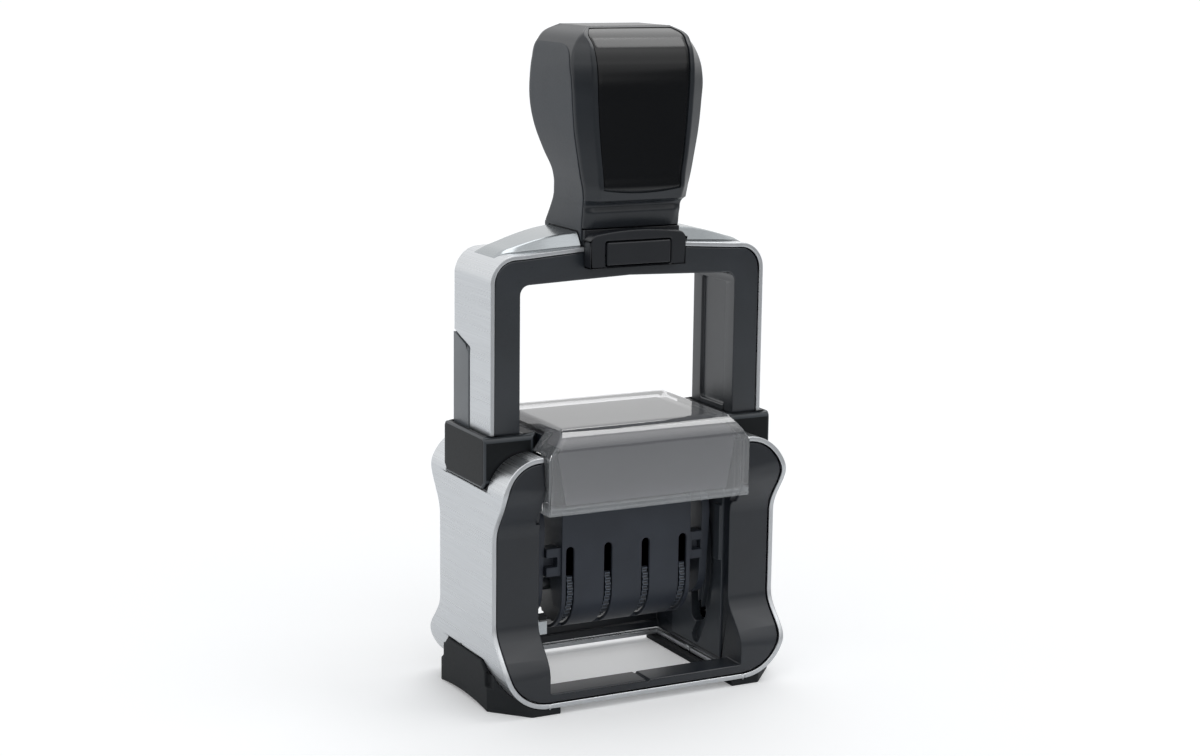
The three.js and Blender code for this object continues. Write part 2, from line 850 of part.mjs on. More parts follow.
function grooveLine(from, to, offset = 0) {
  return Array.from({ length: camPlate.grooveSteps + 1 }, (_, i) =>
    groovePoint(from + ((to - from) * i) / camPlate.grooveSteps, offset),
  );
}

// Cam plate: a through slot for the axle, a blind groove for the pin and a rib beside it
const grooveHalf = swivel.pinRadius + swivel.pinClear;
const axleSlotHalf = swivel.axleRadius + SLIDE;
function camPlateSolid() {
  const outer = camPlate.inner + camPlate.thick;
  const low = frame.plateFloor + FIT;
  const half = frame.plateHalfDepth - FIT;
  const plate = prism(
    "x",
    rounded([
      [-half, low],
      [half, low],
      [half, frame.plateTop, camPlate.cornerRadius],
      [-half, frame.plateTop, camPlate.cornerRadius],
    ]),
    camPlate.inner,
    outer,
  );
  const slotEnds = [swivel.axisZ, swivel.axisZ - yoke.stroke];
  const reach = [camPlate.inner - OVERRUN, outer + OVERRUN];
  const slot = prism(
    "x",
    hull(slotEnds.flatMap((z) => circle([0, z], axleSlotHalf, swivel.sides))),
    ...reach,
  );
  const grooveTo = camPlate.inner + camPlate.grooveDepth;
  const groove = union(
    prism("x", ribbon(grooveLine(0, 1), grooveHalf), reach[0], grooveTo),
    prism("x", circle(groovePoint(0), grooveHalf, swivel.sides), reach[0], grooveTo),
    prism("x", circle(groovePoint(1), grooveHalf, swivel.sides), reach[0], grooveTo),
  );
  const ribLine = grooveLine(camPlate.ribStartShare, camPlate.ribEndShare, -grooveHalf - camPlate.ribWidth);
  const rib = prism(
    "x",
    ribbon(ribLine, camPlate.ribWidth / 2),
    camPlate.inner - camPlate.ribRise,
    camPlate.inner + camPlate.ribRise,
  );
  const raised = box(
    [camPlate.inner - camPlate.padRise, camPlate.inner + camPlate.padRise],
    [-camPlate.padFront, -camPlate.padBack],
    [camPlate.padBottom, camPlate.padTop],
  );
  return cut(union(plate, rib, raised), slot, groove);
}
const rightCamPlate = camPlateSolid();
add("right_cam_plate", rightCamPlate, finish.blackPlastic);
add("left_cam_plate", mirrorX(rightCamPlate), finish.blackPlastic);

// Collar: the shield on each shoulder that the yoke's leg slides through
function collarSolid() {
  const block = prism(
    "x",
    [
      [-collar.halfDepth + collar.cornerCut, collar.bottom],
      [collar.halfDepth - collar.cornerCut, collar.bottom],
      [collar.halfDepth, collar.bottom + collar.cornerCut],
      [collar.halfDepth, collar.top - collar.topCut],
      [collar.halfDepth - collar.topCut, collar.top],
      [-collar.halfDepth + collar.topCut, collar.top],
      [-collar.halfDepth, collar.top - collar.topCut],
      [-collar.halfDepth, collar.bottom + collar.cornerCut],
    ],
    collar.inner,
    collar.outer,
  );
  const half = collar.halfDepth;
  const chamfered = prism(
    "z",
    [
      [collar.inner, collar.innerCut - half],
      [collar.inner + collar.innerCut, -half],
      [collar.outer, -half],
      [collar.outer, half],
      [collar.inner + collar.innerCut, half],
      [collar.inner, half - collar.innerCut],
    ],
    collar.bottom,
    collar.top,
  );
  return cut(block.intersect(chamfered), legPassage(collar.bottom - OVERRUN));
}
const rightCollar = collarSolid();
add("right_collar", rightCollar, finish.blackPlastic);
add("left_collar", mirrorX(rightCollar), finish.blackPlastic);

// Foot rail: runs front to back under the band and turns up into the side insert
function footRail() {
  const footprint = [
    [rail.inner, -rail.halfDepth],
    [rail.toeOuter, -rail.halfDepth],
    [rail.outer, -rail.sideHalfDepth],
    [rail.outer, rail.sideHalfDepth],
    [rail.toeOuter, rail.halfDepth],
    [rail.inner, rail.halfDepth],
  ];
  const under = cut(
    prism("z", footprint, 0, rail.insertTop),
    prism("y", bandOutline(FIT), -reachY, reachY),
    box([rail.outer - base.sheet, reachX], [-reachY, reachY], [rail.underTop, reachY]),
  );
  const side = prism("x", insertOutline(0), base.halfWidth - base.bottomRadius + GAP, rail.outer);
  const insert = cut(
    side.intersect(prism("z", footprint, 0, rail.insertTop)),
    prism("y", bandOutline(FIT - base.sheet), -reachY, reachY),
  );
  const span = rail.sideHalfDepth;
  const radius = (span * span + rail.arch * rail.arch) / (2 * rail.arch);
  const archPoints = arc(
    [0, rail.arch - radius],
    radius,
    Math.PI / 2 - Math.asin(span / radius),
    Math.PI / 2 + Math.asin(span / radius),
    QUARTER_STEPS * 2,
  );
  const archCut = prism("x", archPoints, rail.toeOuter, reachX);
  return cut(union(under, insert), archCut);
}
const rightRail = footRail();
add("right_foot_rail", rightRail, finish.rubber);
add("left_foot_rail", mirrorX(rightRail), finish.rubber);

// Cradle: the channel across the top that holds the ink cartridge
function cradleSolid() {
  const half = cradle.halfWidth;
  const ledgeBottom = cradle.ledgeTop - cradle.ledgeThick;
  const span = [-cradle.front, cradle.rear];
  const block = box([-half, half], span, [ledgeBottom, cradle.roofTop]);
  const room = box(
    [cradle.wall - half, half - cradle.wall],
    [cradle.wall - cradle.front, cradle.rear + OVERRUN],
    [cradle.ledgeTop, cradle.roofTop - cradle.wall],
  );
  const below = box(
    [cradle.ledgeReach - half, half - cradle.ledgeReach],
    [cradle.wall - cradle.front, cradle.rear + OVERRUN],
    [ledgeBottom - OVERRUN, cradle.ledgeTop + cradle.wall],
  );
  const tabReach = [half - cradle.wall, frame.windowHalf - FIT];
  const tabHeight = [cradle.tabBottom, cradle.tabTop];
  const tabFrom = collar.halfDepth + cradle.tabClear;
  const rearTab = box(tabReach, [tabFrom, cradle.rear], tabHeight);
  const frontTab = box(tabReach, [-cradle.front, -tabFrom], tabHeight);
  const underCover = cut(
    box([-reachX, reachX], [-reachY, GAP - cover.skirtFront], [cradle.tabTop, cover.top]),
    coverForm(cover.wall + card.thick + 2 * GAP),
  );
  const channel = cut(block, room, below, underCover);
  return union(channel, rearTab, frontTab, mirrorX(rearTab), mirrorX(frontTab));
}
add("cartridge_cradle", cradleSolid(), finish.blackPlastic);

// Return springs, standing on the frame's floor and reaching up into the legs
const springX = (yoke.innerHalf + yoke.halfWidth - yoke.strap - yoke.seam) / 2;
for (const [side, sense] of [["left", -1], ["right", 1]])
  add(
    side + "_spring",
    rod(
      "z",
      spring.radius,
      frame.floorTop + spring.seat,
      yoke.springPocketTop - spring.seat,
      [sense * springX, spring.centreY],
      spring.sides,
    ),
    finish.springSteel,
  );

// Stop clip: a bent steel leaf on the left front pillar
function clipSolid() {
  const wall = -frame.windowHalf + FIT;
  const low = clip.centreZ - clip.halfHeight;
  const high = clip.centreZ + clip.halfHeight;
  const leg = box([wall, wall + clip.thick], [-clip.setBack, -clip.setBack + clip.depth], [low, high]);
  const tongue = box(
    [wall, wall + clip.reach],
    [-clip.setBack, -clip.setBack + clip.thick],
    [low + clip.thick, high - clip.thick],
  );
  return union(leg, tongue);
}
add("stop_clip", clipSolid(), finish.springSteel);

// Clear cover: a thin hood with a curved front edge and slanted shoulders
function coverProfile(inset) {
  const front = -cover.front + inset;
  const top = cover.top - inset;
  return rounded([
    [front, cover.bottom - (inset ? OVERRUN : 0)],
    [front, top, cover.frontRadius - inset],
    [cover.rear + (inset ? OVERRUN : 0), top],
    [cover.rear + (inset ? OVERRUN : 0), cover.bottom - (inset ? OVERRUN : 0)],
  ]);
}

function coverOutline(inset) {
  const half = cover.halfWidth - inset;
  const topHalf = cover.topHalf - inset;
  const low = cover.bottom - (inset ? OVERRUN : 0);
  const radius = cover.shoulderRadius;
  return rounded([
    [-half, low],
    [half, low],
    [half, cover.shoulder, radius],
    [topHalf, cover.top - inset, radius],
    [-topHalf, cover.top - inset, radius],
    [-half, cover.shoulder, radius],
  ]);
}

function coverForm(inset) {
  return prism("x", coverProfile(inset), -reachX, reachX).intersect(
    prism("y", coverOutline(inset), -reachY, reachY),
  );
}

function clearCover() {
  const shell = cut(coverForm(0), coverForm(cover.wall));
  const behind = box(
    [-reachX, reachX],
    [-cover.front + cover.sideDepth, cover.rear + OVERRUN],
    [cover.bottom - OVERRUN, cover.shoulder],
  );
  const skirts = box(
    [-reachX, reachX],
    [-cover.skirtFront, cover.rear + OVERRUN],
    [cover.shoulder - OVERRUN, cover.skirtBottom],
  );
  const lip = box(
    [cover.wall - cover.halfWidth, cover.halfWidth - cover.wall],
    [-cover.front + cover.wall - FIT, -cover.front + cover.wall + cover.lipDepth],
    [cover.bottom, cover.bottom + cover.lipHeight],
  );
  return union(cut(shell, behind, skirts), lip);
}
const coverGroup = new THREE.Group();
stamp.add(coverGroup);
add("clear_cover", clearCover(), finish.clearPlastic, coverGroup);

// Inscription card: folded to lie against the inside of the cover
function indexCard() {
  const outer = coverForm(cover.wall + GAP);
  const inner = coverForm(cover.wall + GAP + card.thick);
  const half = [
    [card.bottomHalf, card.bottom],
    [card.frontTopHalf, cover.shoulder],
    [card.topHalf, cover.top],
  ];
  const blank = prism("y", [...half, ...mirrored(half)], -reachY, cover.rear - GAP);
  const rearCut = box([-reachX, reachX], [-cover.skirtFront, reachY], [0, cradle.roofTop + FIT]);
  return cut(cut(outer, inner).intersect(blank), rearCut);
}
add("index_card", indexCard(), finish.cardStock, coverGroup);

// Yoke: outline of the strap's outside, moved inwards by an inset
const yokeGroup = new THREE.Group();
stamp.add(yokeGroup);

function yokeOutline(inset, low) {
  const side = yoke.halfWidth - inset;
  const radius = yoke.cornerRadius - inset;
  const cornerSpan = yoke.cornerRadius / 2;
  const half = rounded([
    [0, low],
    [side, low],
    [side, yoke.shoulderTop - inset, radius],
    [yoke.shoulderHalf - cornerSpan, yoke.shoulderTop + strapRise(cornerSpan) - inset],
    [yoke.crownHalf, yoke.crown - inset],
    [0, yoke.crown - inset],
  ]);
  return [...half, ...mirrored(half)];
}

// How much the strap's top has risen at a distance inwards from its shoulder
function strapRise(distance) {
  return ((yoke.crown - yoke.shoulderTop) * distance) / (yoke.shoulderHalf - yoke.crownHalf);
}

// The dark strip on the rear half of each leg's outside, with a slanted top
function stripOutline(grow) {
  return rounded([
    [strip.front - grow, 0],
    [yoke.halfDepth + grow, 0],
    [yoke.halfDepth + grow, strip.top + grow],
    [strip.front - grow, strip.top - strip.slope + grow, strip.cornerRadius],
  ]);
}

function yokeBand() {
  const depth = [-yoke.halfDepth, yoke.halfDepth];
  const strap = cut(
    prism("y", yokeOutline(0, yoke.strapBottom), ...depth),
    prism("y", yokeOutline(yoke.strap, yoke.strapBottom - OVERRUN), depth[0] - OVERRUN, depth[1] + OVERRUN),
  );
  const notch = prism("x", stripOutline(GAP), yoke.halfWidth - yoke.strap - FIT, yoke.halfWidth + OVERRUN);
  const hole = rod("z", screw.radius + GAP, yoke.innerTop, hub.top, [0, 0], screw.sides);
  return cut(strap, notch, mirrorX(notch), hole);
}
add("yoke_band", yokeBand(), finish.brushedSteel, yokeGroup);

const stripFace = yoke.halfWidth + strip.proud;
const strapInside = yoke.halfWidth - yoke.strap;
function legStrip() {
  const outline = stripOutline(0).map(([y, z]) => [y, Math.max(z, yoke.strapBottom)]);
  return prism("x", outline, strapInside, stripFace);
}
const rightStrip = legStrip();
add("right_leg_strip", rightStrip, finish.blackPlastic, yokeGroup);
add("left_leg_strip", mirrorX(rightStrip), finish.blackPlastic, yokeGroup);

// Plastic arch inside the strap, with a panel let into each leg and a bore for each spring
function yokeFrame() {
  const half = yoke.halfDepth - yoke.faceSetBack;
  const outer = prism("y", yokeOutline(yoke.strap + yoke.seam, yoke.legBottom), -half, half);
  const innerHalfOutline = rounded([
    [0, yoke.legBottom - OVERRUN],
    [yoke.innerHalf, yoke.legBottom - OVERRUN],
    [yoke.innerHalf, yoke.innerTop, yoke.innerRadius],
    [0, yoke.innerCrown],
  ]);
  const inside = prism(
    "y",
    [...innerHalfOutline, ...mirrored(innerHalfOutline)],
    -half - OVERRUN,
    half + OVERRUN,
  );
  const panel = prism(
    "x",
    rounded([
      [-yoke.panelHalfDepth, yoke.panelBottom, yoke.panelDeep],
      [yoke.panelHalfDepth, yoke.panelBottom, yoke.panelDeep],
      [yoke.panelHalfDepth, yoke.panelTop, yoke.panelDeep],
      [-yoke.panelHalfDepth, yoke.panelTop, yoke.panelDeep],
    ]),
    yoke.innerHalf - OVERRUN,
    yoke.innerHalf + yoke.panelDeep,
  );
  const bore = box(
    [springX - spring.radius - SLIDE, springX + spring.radius + SLIDE],
    [spring.centreY - spring.radius - SLIDE, spring.centreY + spring.radius + SLIDE],
    [yoke.legBottom - OVERRUN, yoke.springPocketTop],
  );
  const axleHole = rod(
    "x",
    swivel.axleRadius + FIT,
    yoke.innerHalf - OVERRUN,
    swivel.axleOuter + FIT,
    [0, swivel.axisZ],
    swivel.sides,
  );
  const screwHole = union(
    rod("z", screw.radius + GAP, yoke.innerTop - OVERRUN, yoke.crown + OVERRUN, [0, 0], screw.sides),
    rod(
      "z",
      screw.headRadius + GAP,
      yoke.innerTop - OVERRUN,
      screw.headBottom + screw.headHeight + FIT,
      [0, 0],
      screw.sides,
    ),
  );
  return cut(
    outer,
    inside,
    panel,
    mirrorX(panel),
    bore,
    mirrorX(bore),
    axleHole,
    mirrorX(axleHole),
    screwHole,
  );
}
add("yoke_frame", yokeFrame(), finish.blackPlastic, yokeGroup);

// Fairing: a steel wedge that rises along the strap towards the hub
function fairingSolid() {
  const sections = Array.from({ length: fairing.steps + 1 }, (_, i) => {
    const share = i / fairing.steps;
    const x = fairing.outer + (fairing.inner - fairing.outer) * share;
    const onStrap = yoke.shoulderTop + strapRise(Math.max(0, yoke.shoulderHalf - x)) + fairing.seam;
    const foot = x > yoke.shoulderHalf - yoke.cornerRadius / 2 ? fairing.seam : 0;
    const low = onStrap + foot;
    const rise = fairing.seam + fairing.height * Math.sin((Math.PI / 2) * share);
    const spread = fairing.startShare + (1 - fairing.startShare) * share;
    const footHalf = fairing.footHalf * spread;
    const ridgeHalf = fairing.ridgeHalf * spread;
    return [
      new THREE.Vector3(x, -footHalf, low),
      new THREE.Vector3(x, footHalf, low),
      new THREE.Vector3(x, ridgeHalf, low + rise),
      new THREE.Vector3(x, -ridgeHalf, low + rise),
    ];
  });
  return cut(loft(sections), prism("y", yokeOutline(-fairing.seam, 0), -reachY, reachY));
}
const rightFairing = fairingSolid();
add("right_fairing", rightFairing, finish.polishedSteel, yokeGroup);
add("left_fairing", mirrorX(rightFairing), finish.polishedSteel, yokeGroup);

// Hub: the saddle over the arch's crown that carries the grip and the lock button
function hubSolid() {
  const rise = hub.top - hub.cornerTop;
  const radius = (hub.halfWidth * hub.halfWidth + rise * rise) / (2 * rise);
  const lean = Math.asin((hub.halfWidth - hub.cornerRadius) / radius);
  const topLine = arc([0, hub.top - radius], radius, Math.PI / 2 - lean, Math.PI / 2 + lean, hub.archSteps);
  const side = hub.halfWidth;
  const front = [
    ...rounded([
      [0, hub.bottom],
      [side, hub.bottom, hub.cornerRadius],
      [side, hub.cornerTop - hub.cornerRadius],
    ]).slice(1),
    ...topLine,
    ...mirrored(
      rounded([
        [0, hub.bottom],
        [side, hub.bottom, hub.cornerRadius],
        [side, hub.cornerTop - hub.cornerRadius],
      ]).slice(1),
    ),
  ];
  const gripSeat = box([-side, side], [-yoke.halfDepth, yoke.halfDepth], [yoke.shoulderTop, hub.top]);
  const block = union(prism("y", front, -hub.front, hub.rear), gripSeat);
  const rearCut = box(
    [-reachX, reachX],
    [yoke.halfDepth + SLIDE, reachY],
    [hub.rearTop, hub.top + OVERRUN],
  );
  const saddle = prism("y", yokeOutline(-FIT, 0), -yoke.halfDepth - FIT, yoke.halfDepth + FIT);
  const window = box(
    [-button.halfWidth - SLIDE, button.halfWidth + SLIDE],
    [-reachY, 0],
    [button.bottom - SLIDE, button.top + SLIDE],
  );
  const flangeRoom = box(
    [-button.halfWidth - button.flange - SLIDE, button.halfWidth + button.flange + SLIDE],
    [-hub.front + button.thick - button.proud - button.flangeThick - SLIDE, 0],
    [button.bottom - SLIDE, button.top + SLIDE],
  );
  const screwHole = rod("z", screw.radius + GAP, hub.bottom, hub.top + OVERRUN, [0, 0], screw.sides);
  const leafSeat = box(
    [-leaf.halfWidth - FIT, leaf.halfWidth + FIT],
    [-yoke.halfDepth - FIT - leaf.thick - FIT, 0],
    [leafBottom - FIT, leafBottom + leaf.height + FIT],
  );
  return cut(block, rearCut, saddle, window, flangeRoom, leafSeat, screwHole);
}
const leafBottom = (button.bottom + button.top - leaf.height) / 2;
add("hub", hubSolid(), finish.blackPlastic, yokeGroup);

// Lock spring: a slotted leaf between the hub and the arch, behind the button
function lockSpring() {
  const back = -yoke.halfDepth - FIT;
  const plate = box(
    [-leaf.halfWidth, leaf.halfWidth],
    [back - leaf.thick, back],
    [leafBottom, leafBottom + leaf.height],
  );
  const slots = [-1, 1].map((sense) => {
    const slotZ = leafBottom + (leaf.height + sense * leaf.slotPitch) / 2;
    return box(
      [-leaf.halfWidth + leaf.endMargin, leaf.halfWidth - leaf.endMargin],
      [back - OVERRUN, back + OVERRUN],
      [slotZ - leaf.slotWidth / 2, slotZ + leaf.slotWidth / 2],
    );
  });
  return cut(plate, ...slots);
}
add("lock_spring", lockSpring(), finish.springSteel, yokeGroup);

const handleScrew = union(
  rod("z", screw.radius, screw.headBottom, screw.reach, [0, 0], screw.sides),
  rod("z", screw.headRadius, screw.headBottom, screw.headBottom + screw.headHeight, [0, 0], screw.sides),
);
add("handle_screw", handleScrew, finish.springSteel, yokeGroup);

// Grip: corner lines are smooth curves through the rows of shares
const cornerColumns = [1, 3, 5, 7];
const cornerLines = cornerColumns.map((column, i) => {
  const sense = i < 2 ? -1 : 1;
  return new THREE.CatmullRomCurve3(
    gripRowShares.map(
      (row) =>
        new THREE.Vector3(
          row[column] * grip.halfWidth,
          sense * row[column + 1] * grip.halfDepth,
          grip.bottom + row[0] * (grip.top - grip.bottom),
        ),
    ),
    false,
    "centripetal",
  );
});

// The place on a corner line at a height, found by halving
const HALVINGS = 30;
function cornerAt(line, z) {
  let low = 0;
  let high = 1;
  for (let i = 0; i < HALVINGS; i++) {
    const middle = (low + high) / 2;
    if (line.getPoint(middle).z < z) low = middle;
    else high = middle;
  }
  return line.getPoint((low + high) / 2);
}

// An eight-sided section moved inwards, each side kept parallel
function gripSection(z, inset) {
  const right = cornerLines.map((line) => cornerAt(line, z));
  const ring = [
    ...right.map((p) => new THREE.Vector2(p.x, p.y)),
    ...right.map((p) => new THREE.Vector2(-p.x, p.y)).reverse(),
  ];
  return ring.map((p, i) => {
    const a = ring[(i + ring.length - 1) % ring.length];
    const b = ring[(i + 1) % ring.length];
    const before = p.clone().sub(a).normalize();
    const after = b.clone().sub(p).normalize();
    const inward = new THREE.Vector2(-before.y - after.y, before.x + after.x).normalize();
    const square = Math.sqrt((1 + before.dot(after)) / 2);
    return new THREE.Vector3(
      p.x + (inward.x * inset) / square,
      p.y + (inward.y * inset) / square,
      z,
    );
  });
}

const gripHeights = Array.from({ length: grip.rowSteps + 1 }, (_, i) => {
  const share = i / grip.rowSteps;
  const crowded = Math.sin((Math.PI / 2) * share);
  return grip.bottom + ((grip.top - grip.bottom) * (share + crowded)) / 2;
});

function gripForm(inset) {
  const high = grip.top - inset;
  const heights = [...gripHeights.filter((z) => z < high), high];
  const sections = heights.map((z) => gripSection(z, inset));
  if (inset) sections.unshift(sections[0].map((p) => new THREE.Vector3(p.x, p.y, p.z - OVERRUN)));
  return loft(sections);
}

// The gloss panel's outline in the front view: it widens upwards and its lower edge sags
function panelOutline(line, grow) {
  const edge = Array.from({ length: grip.panelSteps + 1 }, (_, i) => {
    const z = grip.panelBottom + ((grip.top - grip.panelBottom) * i) / grip.panelSteps;
    return [cornerAt(line, z).x - grip.seam + grow, z + (i === grip.panelSteps ? OVERRUN : 0)];
  });
  const half = [[0, grip.panelBottom - grip.panelSag - grow], ...edge];
  return [...half, ...mirrored(half).slice(0, -1)];
}

// The side pad's outline in the side view, with its front upper corner rounded
function padOutline(grow) {
  const heights = Array.from(
    { length: grip.padSteps + 1 },
    (_, i) => grip.padBottom + ((grip.padTop - grip.padBottom) * i) / grip.padSteps,
  );
  const inset = grip.seam - grow;
  const cutFrom = grip.padTop - grip.padCutDrop;
  const front = heights.filter((z) => z < cutFrom).map((z) => [cornerAt(cornerLines[1], z).y + inset, z]);
  const back = heights.map((z) => [cornerAt(cornerLines[2], z).y - inset, z]);
  const high = grip.padTop + grow;
  const turnFrom = cornerAt(cornerLines[1], cutFrom).y + inset;
  const turn = new THREE.QuadraticBezierCurve(
    new THREE.Vector2(turnFrom, cutFrom),
    new THREE.Vector2(turnFrom, high),
    new THREE.Vector2(-grip.padCutBack, high),
  );
  front.push(...turn.getPoints(QUARTER_STEPS).map((p) => [p.x, p.y]));
  back[back.length - 1][1] += grow;
  front[0][1] -= grow;
  back[0][1] -= grow;
  return [...back, ...front.reverse()];
}

const gripWhole = gripForm(0);
const thinSkin = cut(gripWhole, gripForm(grip.skin));
const pocketFloor = gripForm(grip.skinPocket);
const depthReach = grip.halfDepth + OVERRUN;
const panelEdge = (grow) => grip.panelTopDepth - grow;
const frontRegion = (grow) =>
  prism("y", panelOutline(cornerLines[0], grow), -depthReach, -panelEdge(grow));
const rearRegion = (grow) => prism("y", panelOutline(cornerLines[3], grow), panelEdge(grow), depthReach);
const padRegion = (grow) => prism("x", padOutline(grow), 0, grip.halfWidth + OVERRUN);

const seamGrow = grip.seam;
const padPocket = cut(padRegion(seamGrow), pocketFloor);
const screwSpan = [grip.bottom - OVERRUN, screw.reach + GAP];
const screwRoom = rod("z", screw.radius + GAP, ...screwSpan, [0, 0], screw.sides);
const gripCore = cut(
  gripWhole,
  cut(frontRegion(seamGrow), pocketFloor),
  cut(rearRegion(seamGrow), pocketFloor),
  padPocket,
  mirrorX(padPocket),
  screwRoom,
);
const sidePad = thinSkin.intersect(padRegion(0));
add("grip_core", gripCore, finish.blackPlastic, yokeGroup);
add("front_panel", thinSkin.intersect(frontRegion(0)), finish.glossPanel, yokeGroup);
add("rear_panel", thinSkin.intersect(rearRegion(0)), finish.glossPanel, yokeGroup);
add("right_grip_pad", sidePad, finish.matteGrip, yokeGroup);
add("left_grip_pad", mirrorX(sidePad), finish.matteGrip, yokeGroup);

// Lock button in the hub's front, kept in by a flange behind the hub's face
function lockButton() {
  const face = -hub.front - button.proud;
  const body = prism(
    "y",
    rounded([
      [-button.halfWidth, button.bottom, button.cornerRadius],
      [button.halfWidth, button.bottom, button.cornerRadius],
      [button.halfWidth, button.top, button.cornerRadius],
      [-button.halfWidth, button.top, button.cornerRadius],
    ]),
    face,
    face + button.thick,
  );
  const flange = box(
    [-button.halfWidth - button.flange, button.halfWidth + button.flange],
    [face + button.thick - button.flangeThick, face + button.thick],
    [button.bottom + FIT, button.top - FIT],
  );
  return union(body, flange);
}
add("lock_button", lockButton(), finish.blackPlastic, yokeGroup);

// Stub axles: fixed in the legs, through the cam plates into the cheeks
const cheekOuter = swivel.cheekInner + swivel.cheekThick;
const stubAxle = rod(
  "x",
  swivel.axleRadius,
  swivel.cheekInner + FIT,
  swivel.axleOuter,
  [0, swivel.axisZ],
  swivel.sides,
);
add("right_stub_axle", stubAxle, finish.springSteel, yokeGroup);
add("left_stub_axle", mirrorX(stubAxle), finish.springSteel, yokeGroup);

// Date unit: two cheeks, a print bridge on top, a drum cover round the thumbwheels
const swivelGroup = new THREE.Group();
stamp.add(swivelGroup);
const pinZ = swivel.axisZ + swivel.pinOffset;
const wheelCentre = [-wheel.forward, drum.centreZ + wheel.rise];

function cheekSolid() {
  const outline = hull([
    ...circle(wheelCentre, swivel.cheekWheelRadius, swivel.sides),
    ...circle([0, swivel.axisZ], swivel.cheekAxleRadius, swivel.sides),
    ...circle([0, pinZ], swivel.cheekPinRadius, swivel.sides),
  ]);
  const reach = [swivel.cheekInner - OVERRUN, cheekOuter + OVERRUN];
  return cut(
    prism("x", outline, swivel.cheekInner, cheekOuter),
    rod("x", swivel.axleRadius + swivel.axleClear, ...reach, [0, swivel.axisZ], swivel.sides),
    rod("x", wheel.axleRadius + wheel.boreClear, ...reach, wheelCentre, swivel.sides),
    rod("x", swivel.pinRadius + FIT, ...reach, [0, pinZ], swivel.sides),
  );
}
const rightCheek = cheekSolid();
add("right_cheek", rightCheek, finish.drumPlastic, swivelGroup);
add("left_cheek", mirrorX(rightCheek), finish.drumPlastic, swivelGroup);

const guidePin = rod(
  "x",
  swivel.pinRadius,
  swivel.cheekInner + FIT,
  camPlate.inner + camPlate.grooveDepth - swivel.pinTip,
  [0, pinZ],
  swivel.sides,
);
add("right_guide_pin", guidePin, finish.springSteel, swivelGroup);
add("left_guide_pin", mirrorX(guidePin), finish.springSteel, swivelGroup);

const wheelAxleEnd = cheekOuter - FIT;
const wheelAxle = rod("x", wheel.axleRadius, -wheelAxleEnd, wheelAxleEnd, wheelCentre, swivel.sides);
add("wheel_axle", wheelAxle, finish.springSteel, swivelGroup);

// Print bridge: a rounded bar under the bands, with a flange at each cheek
const bridgeTop = swivel.printFace - band.typeRise - band.thick - band.clear;
function bridgeOutline(grow) {
  const half = bridge.halfDepth + grow;
  const radius = bridge.cornerRadius + grow;
  return rounded([
    [-half, bridge.bottom - grow],
    [half, bridge.bottom - grow],
    [half, bridgeTop + grow, radius],
    [-half, bridgeTop + grow, radius],
  ]);
}

function bridgeSolid() {
  const end = swivel.cheekInner - FIT;
  const bar = prism("x", bridgeOutline(0), -end, end);
  const flange = prism(
    "x",
    rounded([
      [-bridge.flange, bridge.bottom - bridge.flange],
      [bridge.flange, bridge.bottom - bridge.flange],
      [bridge.flange, bridgeTop, bridge.cornerRadius],
      [-bridge.flange, bridgeTop, bridge.cornerRadius],
    ]),
    end - bridge.flangeThick,
    end,
  );
  return union(bar, flange, mirrorX(flange));
}
add("print_bridge", bridgeSolid(), finish.drumPlastic, swivelGroup);

// Drum cover: flat in front, curved under the wheels, slotted for each thumbwheel
const slotPlaces = [-3, -1, 1, 3].map((k) => (k * drum.slotSpacing) / 2);

function drumProfile(radius) {
  const bottomEnd = Math.PI + drum.lowerSweep;
  return arc([0, drum.centreZ], radius, Math.PI, bottomEnd, drum.arcSteps);
}

